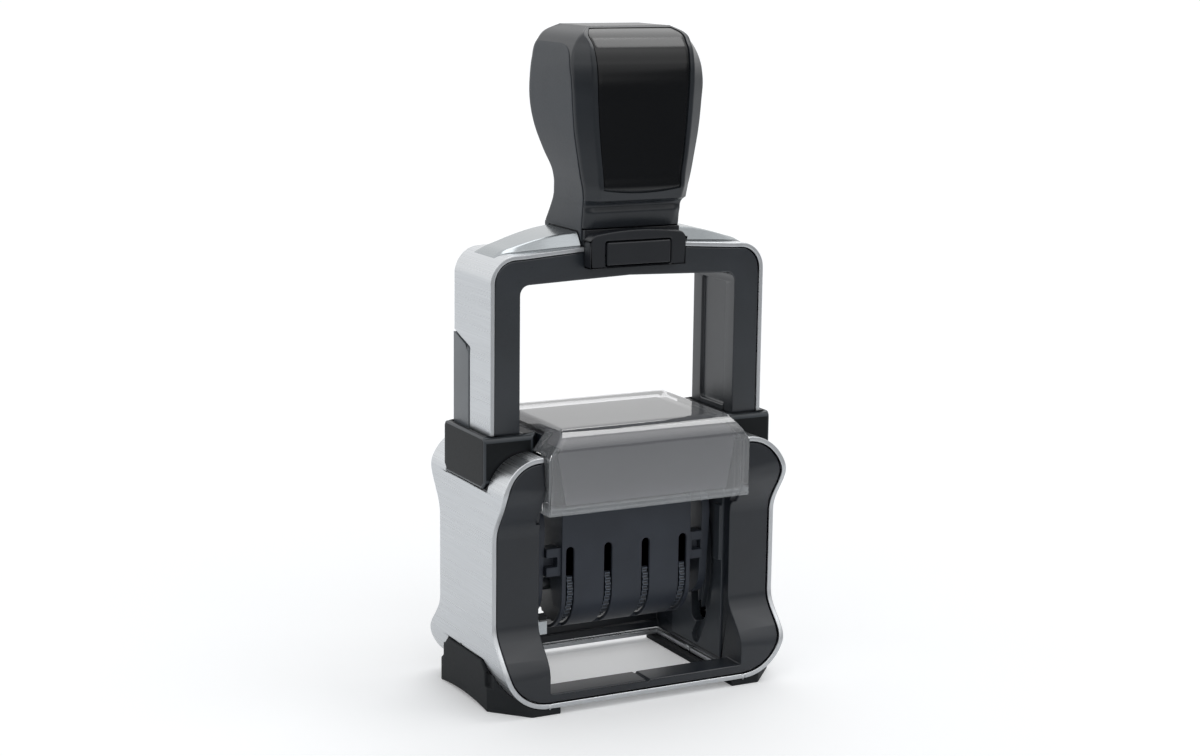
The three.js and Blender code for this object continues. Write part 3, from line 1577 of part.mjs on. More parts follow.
function drumCover() {
  const outerRadius = drum.radius;
  const innerRadius = drum.radius - drum.wall;
  const outerArc = drumProfile(outerRadius);
  const innerArc = drumProfile(innerRadius).reverse();
  const skin = prism(
    "x",
    [
      ...rounded([
        [drum.topReturn - outerRadius, drum.top],
        [-outerRadius, drum.top, drum.topRadius],
        [-outerRadius, drum.centreZ],
      ]).slice(0, -1),
      ...outerArc,
      ...innerArc,
      [-innerRadius, drum.top - drum.wall],
      [drum.topReturn - outerRadius, drum.top - drum.wall],
    ],
    -drum.halfWidth,
    drum.halfWidth,
  );
  const slotEnd = Math.PI + drum.slotSweep;
  const slotOutline = [
    [-outerRadius - OVERRUN, drum.slotTop - drum.slotWidth / 2],
    [-outerRadius - OVERRUN, drum.centreZ],
    ...arc([0, drum.centreZ], outerRadius + OVERRUN, Math.PI, slotEnd, drum.arcSteps),
    ...arc([0, drum.centreZ], innerRadius - drum.wall, slotEnd, Math.PI, drum.arcSteps),
    [drum.wall - innerRadius, drum.slotTop - drum.slotWidth / 2],
  ];
  const slots = slotPlaces.flatMap((x) => [
    prism("x", slotOutline, x - drum.slotWidth / 2, x + drum.slotWidth / 2),
    rod(
      "y",
      drum.slotWidth / 2,
      -outerRadius - OVERRUN,
      drum.wall - innerRadius,
      [x, drum.slotTop - drum.slotWidth / 2],
      swivel.sides,
    ),
  ]);
  const endBottom = drum.centreZ - drum.radius * drum.endBottomShare;
  const endOutline = [
    [-innerRadius - drum.wall / 2, endBottom],
    [-drum.lugRear, endBottom],
    [drum.endRear, drum.lugTop],
    [drum.endRear, drum.top - drum.wall / 2],
    [-innerRadius - drum.wall / 2, drum.top - drum.wall / 2],
  ];
  const end = prism("x", endOutline, drum.halfWidth - drum.endWall, drum.halfWidth).intersect(
    union(
      rod("x", drum.radius - drum.wall / 2, 0, reachX, [0, drum.centreZ], swivel.sides * 2),
      box([0, reachX], [-innerRadius - drum.wall / 2, drum.radius], [drum.centreZ, drum.top]),
    ),
  );
  const lug = box(
    [drum.halfWidth - drum.endWall, swivel.cheekInner - FIT],
    [-drum.lugFront, -drum.lugRear],
    [drum.lugBottom, drum.lugTop],
  );
  const lugMiddle = (drum.lugBottom + drum.lugTop) / 2;
  const lugNotch = box(
    [drum.halfWidth + drum.wall, reachX],
    [-reachY, -drum.lugFront + drum.lugNotch],
    [lugMiddle - drum.lugNotch / 2, lugMiddle + drum.lugNotch / 2],
  );
  const ends = [end, mirrorX(end), cut(lug, lugNotch), mirrorX(cut(lug, lugNotch))];
  return cut(union(skin, ...ends), ...slots);
}
add("drum_cover", drumCover(), finish.drumPlastic, swivelGroup);

// Date bands: a closed loop from the bridge down round the spool, with a raised type bar
function bandSolid(x, width) {
  const spool = (radius) => circle(wheelCentre, radius, wheel.spoolSides);
  const inner = hull([...bridgeOutline(band.clear), ...spool(wheel.spoolRadius + band.clear)]);
  const outer = hull([
    ...bridgeOutline(band.clear + band.thick),
    ...spool(wheel.spoolRadius + band.clear + band.thick),
  ]);
  const ends = [x - width / 2, x + width / 2];
  const loop = cut(prism("x", outer, ...ends), prism("x", inner, ends[0] - OVERRUN, ends[1] + OVERRUN));
  const type = box(
    [ends[0] + band.clear, ends[1] - band.clear],
    [-band.typeHalfDepth, band.typeHalfDepth],
    [swivel.printFace - band.typeRise - band.thick / 2, swivel.printFace],
  );
  return union(loop, type);
}

// Thumbwheel: a toothed disc with the spool that turns its band
function thumbwheel(x, bandFrom, bandTo) {
  const disc = Array.from({ length: wheel.toothCount * 2 }, (_, i) => {
    const radius = i % 2 ? wheel.radius : wheel.radius - wheel.toothDepth;
    const angle = (Math.PI * i) / wheel.toothCount;
    return [wheelCentre[0] + radius * Math.cos(angle), wheelCentre[1] + radius * Math.sin(angle)];
  });
  const ends = [Math.min(x - wheel.thick / 2, bandFrom), Math.max(x + wheel.thick / 2, bandTo)];
  const reach = [ends[0] - OVERRUN, ends[1] + OVERRUN];
  return cut(
    union(
      prism("x", disc, x - wheel.thick / 2, x + wheel.thick / 2),
      rod("x", wheel.spoolRadius, ...ends, wheelCentre, wheel.spoolSides),
    ),
    rod("x", wheel.axleRadius + wheel.boreClear, ...reach, wheelCentre, swivel.sides),
  );
}

const bandPlaces = [
  [slotPlaces[0] + band.discSide + band.wide / 2, band.wide],
  [-(band.narrow + band.centreGap) / 2, band.narrow],
  [(band.narrow + band.centreGap) / 2, band.narrow],
  [slotPlaces[3] - band.discSide - band.wide / 2, band.wide],
];
bandPlaces.forEach(([x, width], i) => {
  add("date_band_" + (i + 1), bandSolid(x, width), finish.rubber, swivelGroup);
  const turned = thumbwheel(slotPlaces[i], x - width / 2, x + width / 2);
  add("thumbwheel_" + (i + 1), turned, finish.drumPlastic, swivelGroup);
});

// Ink cartridge: a tray with the pad facing down and a ribbed grip at the rear
const cartridgeGroup = new THREE.Group();
stamp.add(cartridgeGroup);
function cartridgeTray() {
  const body = box(
    [-tray.halfWidth, tray.halfWidth],
    [-tray.front, tray.gripFront + FIT],
    [tray.bottom, tray.top],
  );
  const handle = prism(
    "y",
    rounded([
      [-tray.gripHalf, tray.gripBottom, tray.cornerRadius],
      [tray.gripHalf, tray.gripBottom, tray.cornerRadius],
      [tray.gripHalf, tray.top, tray.cornerRadius],
      [-tray.gripHalf, tray.top, tray.cornerRadius],
    ]),
    tray.gripFront,
    tray.gripRear,
  );
  const room = box(
    [-pad.halfWidth - FIT, pad.halfWidth + FIT],
    [-pad.halfDepth - FIT, pad.halfDepth + FIT],
    [tray.bottom - OVERRUN, pad.face + pad.thick + FIT],
  );
  const pitch = (tray.top - tray.gripBottom) / (tray.ribCount + 1);
  const grooves = Array.from({ length: tray.ribCount }, (_, i) => {
    const z = tray.gripBottom + pitch * (i + 1);
    return box(
      [-tray.gripHalf / 2, tray.gripHalf / 2],
      [tray.gripRear - tray.ribDepth, reachY],
      [z - tray.ribWidth / 2, z + tray.ribWidth / 2],
    );
  });
  return cut(union(body, handle), room, ...grooves);
}
add("cartridge_tray", cartridgeTray(), finish.blackPlastic, cartridgeGroup);

const inkPad = box(
  [-pad.halfWidth, pad.halfWidth],
  [-pad.halfDepth, pad.halfDepth],
  [pad.face, pad.face + pad.thick],
);
add("ink_pad", inkPad, finish.inkPad, cartridgeGroup);

export default stamp;
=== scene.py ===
import bmesh
import bpy
import numpy as np
from mathutils import Matrix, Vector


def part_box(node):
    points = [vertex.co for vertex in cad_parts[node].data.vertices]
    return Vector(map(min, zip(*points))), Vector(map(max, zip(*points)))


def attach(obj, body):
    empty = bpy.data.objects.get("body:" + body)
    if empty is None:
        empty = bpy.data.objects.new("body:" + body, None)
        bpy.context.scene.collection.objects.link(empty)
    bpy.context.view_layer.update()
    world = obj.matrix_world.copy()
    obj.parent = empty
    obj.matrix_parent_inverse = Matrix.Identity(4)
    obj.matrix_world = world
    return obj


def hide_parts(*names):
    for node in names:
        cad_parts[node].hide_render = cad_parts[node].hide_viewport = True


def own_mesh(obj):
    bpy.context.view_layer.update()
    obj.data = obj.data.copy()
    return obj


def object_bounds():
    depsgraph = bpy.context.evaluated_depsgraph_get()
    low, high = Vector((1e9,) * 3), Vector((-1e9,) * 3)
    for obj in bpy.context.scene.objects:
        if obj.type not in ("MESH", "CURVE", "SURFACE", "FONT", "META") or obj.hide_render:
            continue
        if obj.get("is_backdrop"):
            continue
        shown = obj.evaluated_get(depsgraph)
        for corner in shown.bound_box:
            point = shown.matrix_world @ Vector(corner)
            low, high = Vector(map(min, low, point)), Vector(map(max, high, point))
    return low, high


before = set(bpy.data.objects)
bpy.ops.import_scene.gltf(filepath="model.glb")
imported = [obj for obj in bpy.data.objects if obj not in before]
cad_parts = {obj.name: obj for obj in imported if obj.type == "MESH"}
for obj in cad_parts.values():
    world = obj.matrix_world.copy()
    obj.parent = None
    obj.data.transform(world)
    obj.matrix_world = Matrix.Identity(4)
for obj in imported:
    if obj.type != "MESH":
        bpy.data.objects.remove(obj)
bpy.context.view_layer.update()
scene = bpy.context.scene
scene.view_settings.view_transform = "Standard"
MM = 0.001  # sizes below are written in millimetres and turned into metres where a mesh is made

# Camera: it stands left of the front, a little higher than the grip, and looks down at the stamp
# through a long lens, so that upright edges stay almost parallel.
camera_place = np.array([-238.0, -452.6, 169.0])
yaw, pitch, roll = np.radians([27.5, 11.03, 0.68])
level = np.array([np.sin(yaw), np.cos(yaw), 0.0])
sideways = np.array([np.cos(yaw), -np.sin(yaw), 0.0])
ahead = np.cos(pitch) * level - np.array([0.0, 0.0, np.sin(pitch)])
upright = np.cross(sideways, ahead)
image_right = np.cos(roll) * sideways + np.sin(roll) * upright
image_up = np.cos(roll) * upright - np.sin(roll) * sideways
camera = bpy.data.objects.new("camera", bpy.data.cameras.new("camera"))
camera.data.sensor_width, camera.data.lens = 36.0, 69.6
camera.data.clip_start, camera.data.clip_end = 0.01, 100.0
turned = np.eye(4)
turned[:3, 0], turned[:3, 1], turned[:3, 2] = image_right, image_up, -ahead
turned[:3, 3] = camera_place * MM
camera.matrix_world = Matrix(turned.tolist())
scene.collection.objects.link(camera)
scene.camera = camera


# Room: a white studio. The walls show in gloss, metal and glass as white above and behind, and
# as grey low in front, where the photographer's side of the room is darker.
def tint(code):
    """A colour written as sRGB hex, turned into the linear values that a shader takes."""
    s = np.array([int(code[i : i + 2], 16) / 255 for i in (0, 2, 4)])
    return tuple(np.where(s <= 0.04045, s / 12.92, ((s + 0.055) / 1.055) ** 2.4)) + (1.0,)


def shader_node(tree, kind, **values):
    """A new node of a kind, with values for the inputs that are named; an underscore stands for a space."""
    made = tree.nodes.new("ShaderNode" + kind)
    for key, value in values.items():
        made.inputs[key.replace("_", " ")].default_value = value
    return made


def connect(tree, *pairs):
    """Links from outputs to inputs, pair by pair."""
    for source, target in pairs:
        tree.links.new(source, target)


def greatest(tree, *values):
    """The greatest of several outputs, two at a time."""
    most = values[0]
    for other in values[1:]:
        pick = shader_node(tree, "Math")
        pick.operation = "MAXIMUM"
        connect(tree, (most, pick.inputs[0]), (other, pick.inputs[1]))
        most = pick.outputs[0]
    return most


wall_grey, front_reach, white_height = 0.1, 0.35, 0.85
world = bpy.data.worlds.new("studio")
scene.world = world
world.use_nodes = True
tree = world.node_tree
tree.nodes.clear()
room_light = shader_node(tree, "Background", Color=tint("e6e7e8"), Strength=0.62)
room_seen = shader_node(tree, "Background", Color=tint("ffffff"))
direction = shader_node(tree, "TexCoord")
split = shader_node(tree, "SeparateXYZ")
height = shader_node(tree, "MapRange", From_Min=0.0, From_Max=white_height, To_Min=wall_grey, To_Max=1.0)
height.interpolation_type = "SMOOTHSTEP"
depth = shader_node(tree, "MapRange", From_Min=-front_reach, From_Max=front_reach)
rays = shader_node(tree, "LightPath")
plain = shader_node(tree, "Mix", B=1.0)
choose = shader_node(tree, "MixShader")
out = shader_node(tree, "OutputWorld")
room_rays = ("Is Camera Ray", "Is Glossy Ray", "Is Transmission Ray")
sees_room = greatest(tree, *(rays.outputs[name] for name in room_rays))
connect(
    tree,
    (direction.outputs["Generated"], split.inputs[0]),
    (split.outputs["Z"], height.inputs["Value"]),
    (split.outputs["Y"], depth.inputs["Value"]),
    (rays.outputs["Is Camera Ray"], plain.inputs["Factor"]),
    (greatest(tree, height.outputs[0], depth.outputs[0]), plain.inputs["A"]),
    (plain.outputs["Result"], room_seen.inputs["Strength"]),
    (sees_room, choose.inputs[0]),
    (room_light.outputs[0], choose.inputs[1]),
    (room_seen.outputs[0], choose.inputs[2]),
    (choose.outputs[0], out.inputs["Surface"]),
)

# Lamps: a broad key through a soft screen, high on the right behind the stamp, a side lamp on the
# left, a small soft box over the front and a weak fill from the front.
for lamp_name, strength, spread, towards in (
    ("key", 0.7, 44.0, (-0.35, -0.4, -1.0)),
    ("side", 0.4, 60.0, (0.75, 0.15, -0.6)),
    ("soft box", 0.4, 25.0, (-0.45, 0.16, -0.87)),
    ("fill", 0.3, 60.0, (-0.2, 0.9, -0.5)),
):
    lamp = bpy.data.lights.new(lamp_name, "SUN")
    lamp.energy, lamp.angle = strength, np.radians(spread)
    holder = bpy.data.objects.new(lamp_name, lamp)
    back = -np.array(towards) / np.linalg.norm(towards)
    across = np.cross((0.0, 0.0, 1.0), back)
    across /= np.linalg.norm(across)
    holder.matrix_world = Matrix(
        np.block([[np.array([across, np.cross(back, across), back]).T, np.zeros((3, 1))], [0, 0, 0, 1]]).tolist()
    )
    scene.collection.objects.link(holder)


# Floor: a pale sheet that runs out of view, with the stamp's shadow on it. In gloss it shows as
# ending in the dark of the room a short way in front of the stamp.
def grid_mesh(name, points, faces, uv=None):
    """A mesh from an array of corners in millimetres and an array of faces, with a corner's UV if given."""
    mesh = bpy.data.meshes.new(name)
    mesh.from_pydata((np.asarray(points, float).reshape(-1, 3) * MM).tolist(), [], faces)
    if uv is not None:
        layer = mesh.uv_layers.new(name="UVMap")
        corner = np.zeros(len(mesh.loops), int)
        mesh.loops.foreach_get("vertex_index", corner)
        layer.data.foreach_set("uv", np.asarray(uv, float).reshape(-1, 2)[corner].ravel())
    mesh.validate()
    made = bpy.data.objects.new(name, mesh)
    scene.collection.objects.link(made)
    return made


def new_skin(name, bare=False):
    """A new material and its node tree, which holds no node yet if it is bare."""
    skin = bpy.data.materials.new(name)
    skin.use_nodes = True
    if bare:
        skin.node_tree.nodes.clear()
    return skin, skin.node_tree


floor_reach, dark_from, dark_to, darkest = 20000.0, -0.05, -0.5, 0.88
floor_corners = np.array([(-1, -1, 0), (1, -1, 0), (1, 1, 0), (-1, 1, 0)]) * floor_reach
floor = grid_mesh("floor", floor_corners, [(0, 1, 2, 3)])
floor_skin, tree = new_skin("pale floor", bare=True)
matt = shader_node(tree, "BsdfDiffuse", Color=tint("f2f3f4"))
lift = shader_node(tree, "Emission", Strength=0.2)
dark = shader_node(tree, "Emission", Strength=0.0)
rays = shader_node(tree, "LightPath")
glow = shader_node(tree, "MixShader")
total = shader_node(tree, "AddShader")
place = shader_node(tree, "TexCoord")
split = shader_node(tree, "SeparateXYZ")
front = shader_node(tree, "MapRange", From_Min=dark_from, From_Max=dark_to, To_Min=0.0, To_Max=darkest)
mirrored = shader_node(tree, "Math")
mirrored.operation = "MULTIPLY"
ends = shader_node(tree, "MixShader")
out = shader_node(tree, "OutputMaterial")
connect(
    tree,
    (rays.outputs["Is Camera Ray"], glow.inputs[0]),
    (dark.outputs[0], glow.inputs[1]),
    (lift.outputs[0], glow.inputs[2]),
    (matt.outputs[0], total.inputs[0]),
    (glow.outputs[0], total.inputs[1]),
    (place.outputs["Object"], split.inputs[0]),
    (split.outputs["Y"], front.inputs["Value"]),
    (front.outputs[0], mirrored.inputs[0]),
    (rays.outputs["Is Glossy Ray"], mirrored.inputs[1]),
    (mirrored.outputs[0], ends.inputs[0]),
    (total.outputs[0], ends.inputs[1]),
    (dark.outputs[0], ends.inputs[2]),
    (ends.outputs[0], out.inputs["Surface"]),
)
floor.data.materials.append(floor_skin)
floor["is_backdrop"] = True


# Base band: one strip of brushed stainless steel, bent round the base and joined underneath.
# Its edges are polished. It is open between the collars, over the print opening and at the inserts.
def two_tone(tree, colour, spread, low, high):
    """A ramp between two places, from a colour darkened by a share to the same one lightened by it."""
    shade = shader_node(tree, "ValToRGB")
    middle = np.array(tint(colour))[:3]
    for stop, position, share in zip(shade.color_ramp.elements, (low, high), (1 - spread, 1 + spread)):
        stop.position, stop.color = position, tuple(np.append(np.minimum(middle * share, 1), 1))
    return shade


def brushed(name, colour, roughness, grain=0.0001, streak=(1, 100, 1), contrast=0.06, depth=0.0000015, metal=1.0):
    """Metal with fine parallel scratches: noise of a grain's size, drawn out along one axis by streak."""
    skin, tree = new_skin(name)
    shader = tree.nodes["Principled BSDF"]
    shader.inputs["Metallic"].default_value = metal
    place = shader_node(tree, "TexCoord")
    squeeze = shader_node(tree, "Mapping", Scale=tuple(1 / (grain * np.array(streak))))
    scratches = shader_node(tree, "TexNoise", Scale=0.35, Detail=3.0)
    shade = two_tone(tree, colour, contrast, 0.3, 0.7)
    gloss = shader_node(tree, "MapRange", To_Min=roughness - 0.06, To_Max=roughness + 0.08)
    relief = shader_node(tree, "Bump", Distance=depth, Strength=0.5)
    connect(
        tree,
        (place.outputs["Object"], squeeze.inputs["Vector"]),
        (squeeze.outputs[0], scratches.inputs["Vector"]),
        (scratches.outputs[0], shade.inputs[0]),
        (shade.outputs[0], shader.inputs["Base Color"]),
        (scratches.outputs[0], gloss.inputs["Value"]),
        (gloss.outputs[0], shader.inputs["Roughness"]),
        (scratches.outputs[0], relief.inputs["Height"]),
        (relief.outputs[0], shader.inputs["Normal"]),
    )
    return skin


band_steel = brushed("brushed steel", "d3d6d9", 0.28)
rim_steel = brushed("polished rim", "c9cccf", 0.3, 0.0012, (1, 1, 1), contrast=0.02, depth=0.0000002, metal=0.55)


def bent_path(corners, steps):
    """A line through corners (x, z, radius): each corner is turned by an arc of its radius, whose centre
    is on the corner's bisector and which touches both straights, and the points are joined in order."""
    corners = np.asarray(corners, float)
    pieces = [corners[:1, :2]]
    for before, here, after in zip(corners[:-2], corners[1:-1], corners[2:]):
        to_before = (before[:2] - here[:2]) / np.linalg.norm(before[:2] - here[:2])
        to_after = (after[:2] - here[:2]) / np.linalg.norm(after[:2] - here[:2])
        half = np.arccos(np.clip(to_before @ to_after, -1, 1)) / 2
        reach = here[2] / np.tan(half)
        middle = here[:2] + (to_before + to_after) / np.linalg.norm(to_before + to_after) * here[2] / np.sin(half)
        start, stop = here[:2] + to_before * reach - middle, here[:2] + to_after * reach - middle
        turn = np.pi - 2 * half
        share = np.linspace(0, 1, max(2, int(steps * turn / (np.pi / 2))) + 1)[:, None]
        arc = (start * np.sin((1 - share) * turn) + stop * np.sin(share * turn)) / np.sin(turn) if turn < 3 else start
        pieces.append(middle + arc if turn > 0.02 else np.array([here[:2]]))
    pieces.append(corners[-1:, :2])
    return np.vstack(pieces)


def refine(path, step):
    """The same line with points added: each stretch is cut into the fewest equal parts that are no
    longer than a step."""
    parts = np.maximum(1, np.ceil(np.linalg.norm(np.diff(path, axis=0), axis=1) / step)).astype(int)
    stretch = np.repeat(np.arange(len(parts)), parts)
    share = (np.arange(parts.sum()) - (np.cumsum(parts) - parts)[stretch]) / parts[stretch]
    return np.vstack([path[stretch] + (path[stretch + 1] - path[stretch]) * share[:, None], path[-1:]])


def arc_length(path):
    """How far along a line each of its points is: the sum of the distances up to it."""
    return np.concatenate([[0], np.cumsum(np.linalg.norm(np.diff(path, axis=0), axis=1))])


def with_points(path, places):
    """The same line with points added at places, which are counted along it from its start."""
    keys = arc_length(path)
    where = np.unique(np.concatenate([keys, places]))
    return np.stack([np.interp(where, keys, path[:, 0]), np.interp(where, keys, path[:, 1])], 1)


def sheet_strip(name, path, edges, keep, thick):
    """A bent strip: its corner (i, j) is at path point i and at depth edges[i, j]. Only the cells that
    keep marks are there, and the wall grows inwards from them. UV is arc length by depth."""
    rows, cols = edges.shape
    points = np.stack([np.repeat(path[:, :1], cols, 1), edges, np.repeat(path[:, 1:], cols, 1)], axis=-1)
    uv = np.stack([np.repeat(arc_length(path)[:, None], cols, 1), edges], axis=-1) * MM
    i, j = np.nonzero(keep)
    a = i * cols + j
    strip = grid_mesh(name, points, np.stack([a, a + 1, a + 1 + cols, a + cols], axis=1).tolist(), uv)
    loose = bmesh.new()
    loose.from_mesh(strip.data)
    bmesh.ops.remove_doubles(loose, verts=loose.verts, dist=1e-7)
    bmesh.ops.delete(loose, geom=[v for v in loose.verts if not v.link_faces], context="VERTS")
    loose.to_mesh(strip.data)
    loose.free()
    wall = strip.modifiers.new("wall", "SOLIDIFY")
    wall.thickness, wall.offset, wall.use_even_offset = thick * MM, -1.0, True
    wall.material_offset_rim = 1
    return strip


def shade_smooth(piece, keep_sharp=False):
    """Smooth shading that weighs each face by its area, so that broad faces keep their own direction."""
    piece.data.polygons.foreach_set("use_smooth", np.ones(len(piece.data.polygons), bool))
    shading = piece.modifiers.new("shading by area", "WEIGHTED_NORMAL")
    shading.mode, shading.weight, shading.keep_sharp = "FACE_AREA", 50, keep_sharp


def soften(piece, width, segments=2, angle=35.0):
    """Rounds each hard edge by a width in millimetres, and lets the broad faces keep their own shading."""
    bevel = piece.modifiers.new("round edges", "BEVEL")
    bevel.width, bevel.segments = width * MM, segments
    bevel.limit_method, bevel.angle_limit = "ANGLE", np.radians(angle)
    bevel.use_clamp_overlap = False
    bevel.miter_outer = "MITER_ARC"
    shade_smooth(piece)


base_half, base_bottom, base_top, sheet = 35.4, 1.5, 57.2, 1.1
bottom_turn, top_turn, longest_step = 11, 9.5, 1.2
waist, lower_lobe, upper_lobe, top_lobe = 14.1, 20.6, 19.5, 18.6
waist_in, waist_out = (8.7, 19.5), (38.5, 50.5)
mouth_half, opening_half, opening_front, opening_rear = 25.2, 23.2, 12.8, 17.8
collar_gap_depth, collar_gap_low = 11.1, 49.1
insert_depth, insert_top, insert_cut, insert_inner = 11.6, 11.1, 2.2, 24.4
row_gap, hairline = 0.01, 1e-6  # between the two rows that bound each opening, and next to nothing
# Heights that part the floor and the collars' cuts from the rest, and how the band's inner rows run.
side_zone, floor_zone, collar_zone = 6, 9, 30
gap_rise_low, gap_rise_depth, inner_share, beside_share, least_strip = 40, 19.4, 0.62, 0.3, 0.4
notch_wide, notch_deep, floor_near, notch_under = 0.8, 0.5, 0.2, 2


def half_wave(z, low, high):
    """A share that rises from 0 at one height to 1 at another, as half a cosine wave."""
    return (1 - np.cos(np.pi * np.clip((z - low) / (high - low), 0, 1))) / 2


def waist_depth(z):
    """Half the base's depth at a height: a deep lobe below, a half cosine wave in to the waist, another
    out to the upper lobe, and a slight taper to the top."""
    narrowing, widening = half_wave(z, *waist_in), half_wave(z, *waist_out)
    depth = lower_lobe + (waist - lower_lobe) * narrowing + (upper_lobe - waist) * widening
    return depth + (top_lobe - upper_lobe) * np.clip((z - waist_out[1]) / (base_top - waist_out[1]), 0, 1)


base_corners = [
    (0, base_bottom, 0),
    (base_half, base_bottom, bottom_turn),
    (base_half, base_top, top_turn),
    (mouth_half, base_top, 0),
]
half_path = refine(bent_path(base_corners, 18), longest_step)
marks_z = [insert_top, insert_top - insert_cut, collar_gap_low]
marks_x = [opening_half, insert_inner]
keys = arc_length(half_path)
on_side = half_path[:, 0] > base_half - side_zone
on_floor = half_path[:, 1] < base_bottom + hairline
extra = [np.interp(z, half_path[on_side, 1], keys[on_side]) for z in marks_z]
extra = np.array(extra + [np.interp(x, half_path[on_floor, 0], keys[on_floor]) for x in marks_x])
half_path = with_points(half_path, np.concatenate([extra - row_gap / 2, extra + row_gap / 2]))
full_path = np.vstack([half_path[::-1] * (-1, 1), half_path[1:]])
x, z = np.abs(full_path[:, 0]), full_path[:, 1]
reach = waist_depth(z)
side_hole = insert_depth - np.clip(z - (insert_top - insert_cut), 0, insert_cut)
shrink = np.interp(z, [gap_rise_low, collar_gap_low], [waist_depth(collar_gap_low), gap_rise_depth])
inner = np.where(z > collar_zone, collar_gap_depth * reach / shrink, side_hole)
inner = np.where(z >= collar_gap_low - row_gap, collar_gap_depth, np.minimum(inner, reach * inner_share))
inner = np.where(z < insert_top + row_gap, side_hole, inner)
beside = inner + (reach - inner) * beside_share
front = np.where(z < floor_zone, np.maximum(opening_front, inner + least_strip), beside)
rear = np.where(z < floor_zone, np.maximum(opening_rear, inner + least_strip), beside)
notch_y = (opening_rear - opening_front) / 2 + np.array([-notch_wide, 0, notch_wide])
notch_rows = np.repeat(notch_y[None], len(z), 0)
edges = np.column_stack([-reach, -front, -inner, notch_rows, inner, rear, reach])
xm, zm = (x[1:] + x[:-1]) / 2, (z[1:] + z[:-1]) / 2
under_collar = zm > collar_gap_low
in_insert = (zm < insert_top) & (xm > insert_inner)
in_opening = (zm < base_bottom + floor_near) & (xm < opening_half)
centre = ~(under_collar | in_insert | in_opening)
shoulder = ~in_opening
rim = np.ones_like(centre)
keep = np.column_stack([rim, shoulder, centre, centre, centre, centre, shoulder, rim])
band = sheet_strip("base_band", full_path, edges, keep, sheet)
corner = np.zeros(3 * len(band.data.vertices))
band.data.vertices.foreach_get("co", corner)
corner = corner.reshape(-1, 3) / MM
at_notch = np.abs(np.abs(corner[:, 0]) - opening_half) < row_gap
at_notch &= (np.abs(corner[:, 1] - notch_y[1]) < row_gap) & (corner[:, 2] < notch_under)
corner[at_notch, 0] += notch_deep * np.sign(corner[at_notch, 0])
band.data.vertices.foreach_set("co", (corner * MM).ravel())
band.data.materials.append(band_steel)
band.data.materials.append(rim_steel)
edge_round = 0.22
soften(band, edge_round, 2, 40)
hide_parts("base_shell")
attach(band, "base")


# Inner frame: the dark moulding inside the band, with four pillars, a front bar and a rear wall.
# The cam plates, cradle and stop clip are fixed to it.
def moulded(name, colour, roughness, grain=0.00035, depth=0.000008, spread=0.1, specular=0.5):
    """Moulded plastic: a slow drift of colour, a fine even grain in the surface and in its gloss."""
    skin, tree = new_skin(name)
    shader = tree.nodes["Principled BSDF"]
    shader.inputs["Specular IOR Level"].default_value = specular
    place = shader_node(tree, "TexCoord")
    drift = shader_node(tree, "TexNoise", Scale=90.0, Detail=2.0)
    shade = two_tone(tree, colour, spread, 0.35, 0.65)
    fine = shader_node(tree, "TexNoise", Scale=1 / grain, Detail=2.0)
    gloss = shader_node(tree, "MapRange", To_Min=max(roughness - 0.05, 0.02), To_Max=roughness + 0.05)
    relief = shader_node(tree, "Bump", Distance=depth, Strength=0.6)
    connect(
        tree,
        (place.outputs["Object"], drift.inputs["Vector"]),
        (place.outputs["Object"], fine.inputs["Vector"]),
        (drift.outputs[0], shade.inputs[0]),
        (shade.outputs[0], shader.inputs["Base Color"]),
        (fine.outputs[0], gloss.inputs["Value"]),
        (gloss.outputs[0], shader.inputs["Roughness"]),
        (fine.outputs[0], relief.inputs["Height"]),
        (relief.outputs[0], shader.inputs["Normal"]),
    )
    return skin


def dressed(node, body, skin, width=0.2, angle=35.0, edge=None, whole=False):
    """The solid of a node with its loose triangles merged, its flat runs joined, which stay whole or are
    cut anew, and its edges rounded. The rounded edges have a skin of their own if one is given, which
    paints a highlight on them."""
    piece = bpy.data.objects.new(node + "_dressed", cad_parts[node].data.copy())
    piece.data.name = piece.name
    scene.collection.objects.link(piece)
    loose = bmesh.new()
    loose.from_mesh(piece.data)
    bmesh.ops.remove_doubles(loose, verts=loose.verts, dist=2e-6)
    bmesh.ops.dissolve_limit(loose, angle_limit=np.radians(0.7), verts=loose.verts, edges=loose.edges)
    if not whole:
        bmesh.ops.triangulate(loose, faces=[f for f in loose.faces if len(f.verts) > 4])
    loose.to_mesh(piece.data)
    loose.free()
    piece.data.materials.clear()
    piece.data.materials.append(skin)
    soften(piece, width, 2, angle)
    if edge:
        piece.data.materials.append(edge)
        piece.modifiers["round edges"].material = 1
    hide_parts(node)
    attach(piece, body)
    return piece


frame_plastic = moulded("frame plastic", "1c2128", 0.36, specular=0.62)
# The cam plates are the frame's black plastic painted lighter: painted light inside the base, where little lamp light
# reaches.
cam_plastic_painted_light = moulded("cam plastic painted light", "3a3f45", 0.34)
for node, width, skin in (
    ("inner_frame", 0.3, frame_plastic),
    ("cartridge_cradle", 0.2, frame_plastic),
    ("left_cam_plate", 0.18, cam_plastic_painted_light),
    ("right_cam_plate", 0.18, cam_plastic_painted_light),
):
    dressed(node, "base", skin, width)
clip_steel = brushed("spring steel", "b9bec1", 0.3, streak=(1, 1, 1))
dressed("stop_clip", "base", clip_steel, 0.08)

# Collars: satin black shields clipped over the shoulders, which guide the yoke's legs. Their
# rounded edges are painted a lighter grey, a painted highlight.
collar_plastic = moulded("collar plastic", "0e1215", 0.5, specular=0.25)
# A lighter grey for the collars' rounded edges: a painted highlight.
collar_edge_highlight = moulded("collar edge painted highlight", "383d42", 0.34)
for side in ("left", "right"):
    dressed(side + "_collar", "base", collar_plastic, 0.5, 35, collar_edge_highlight)

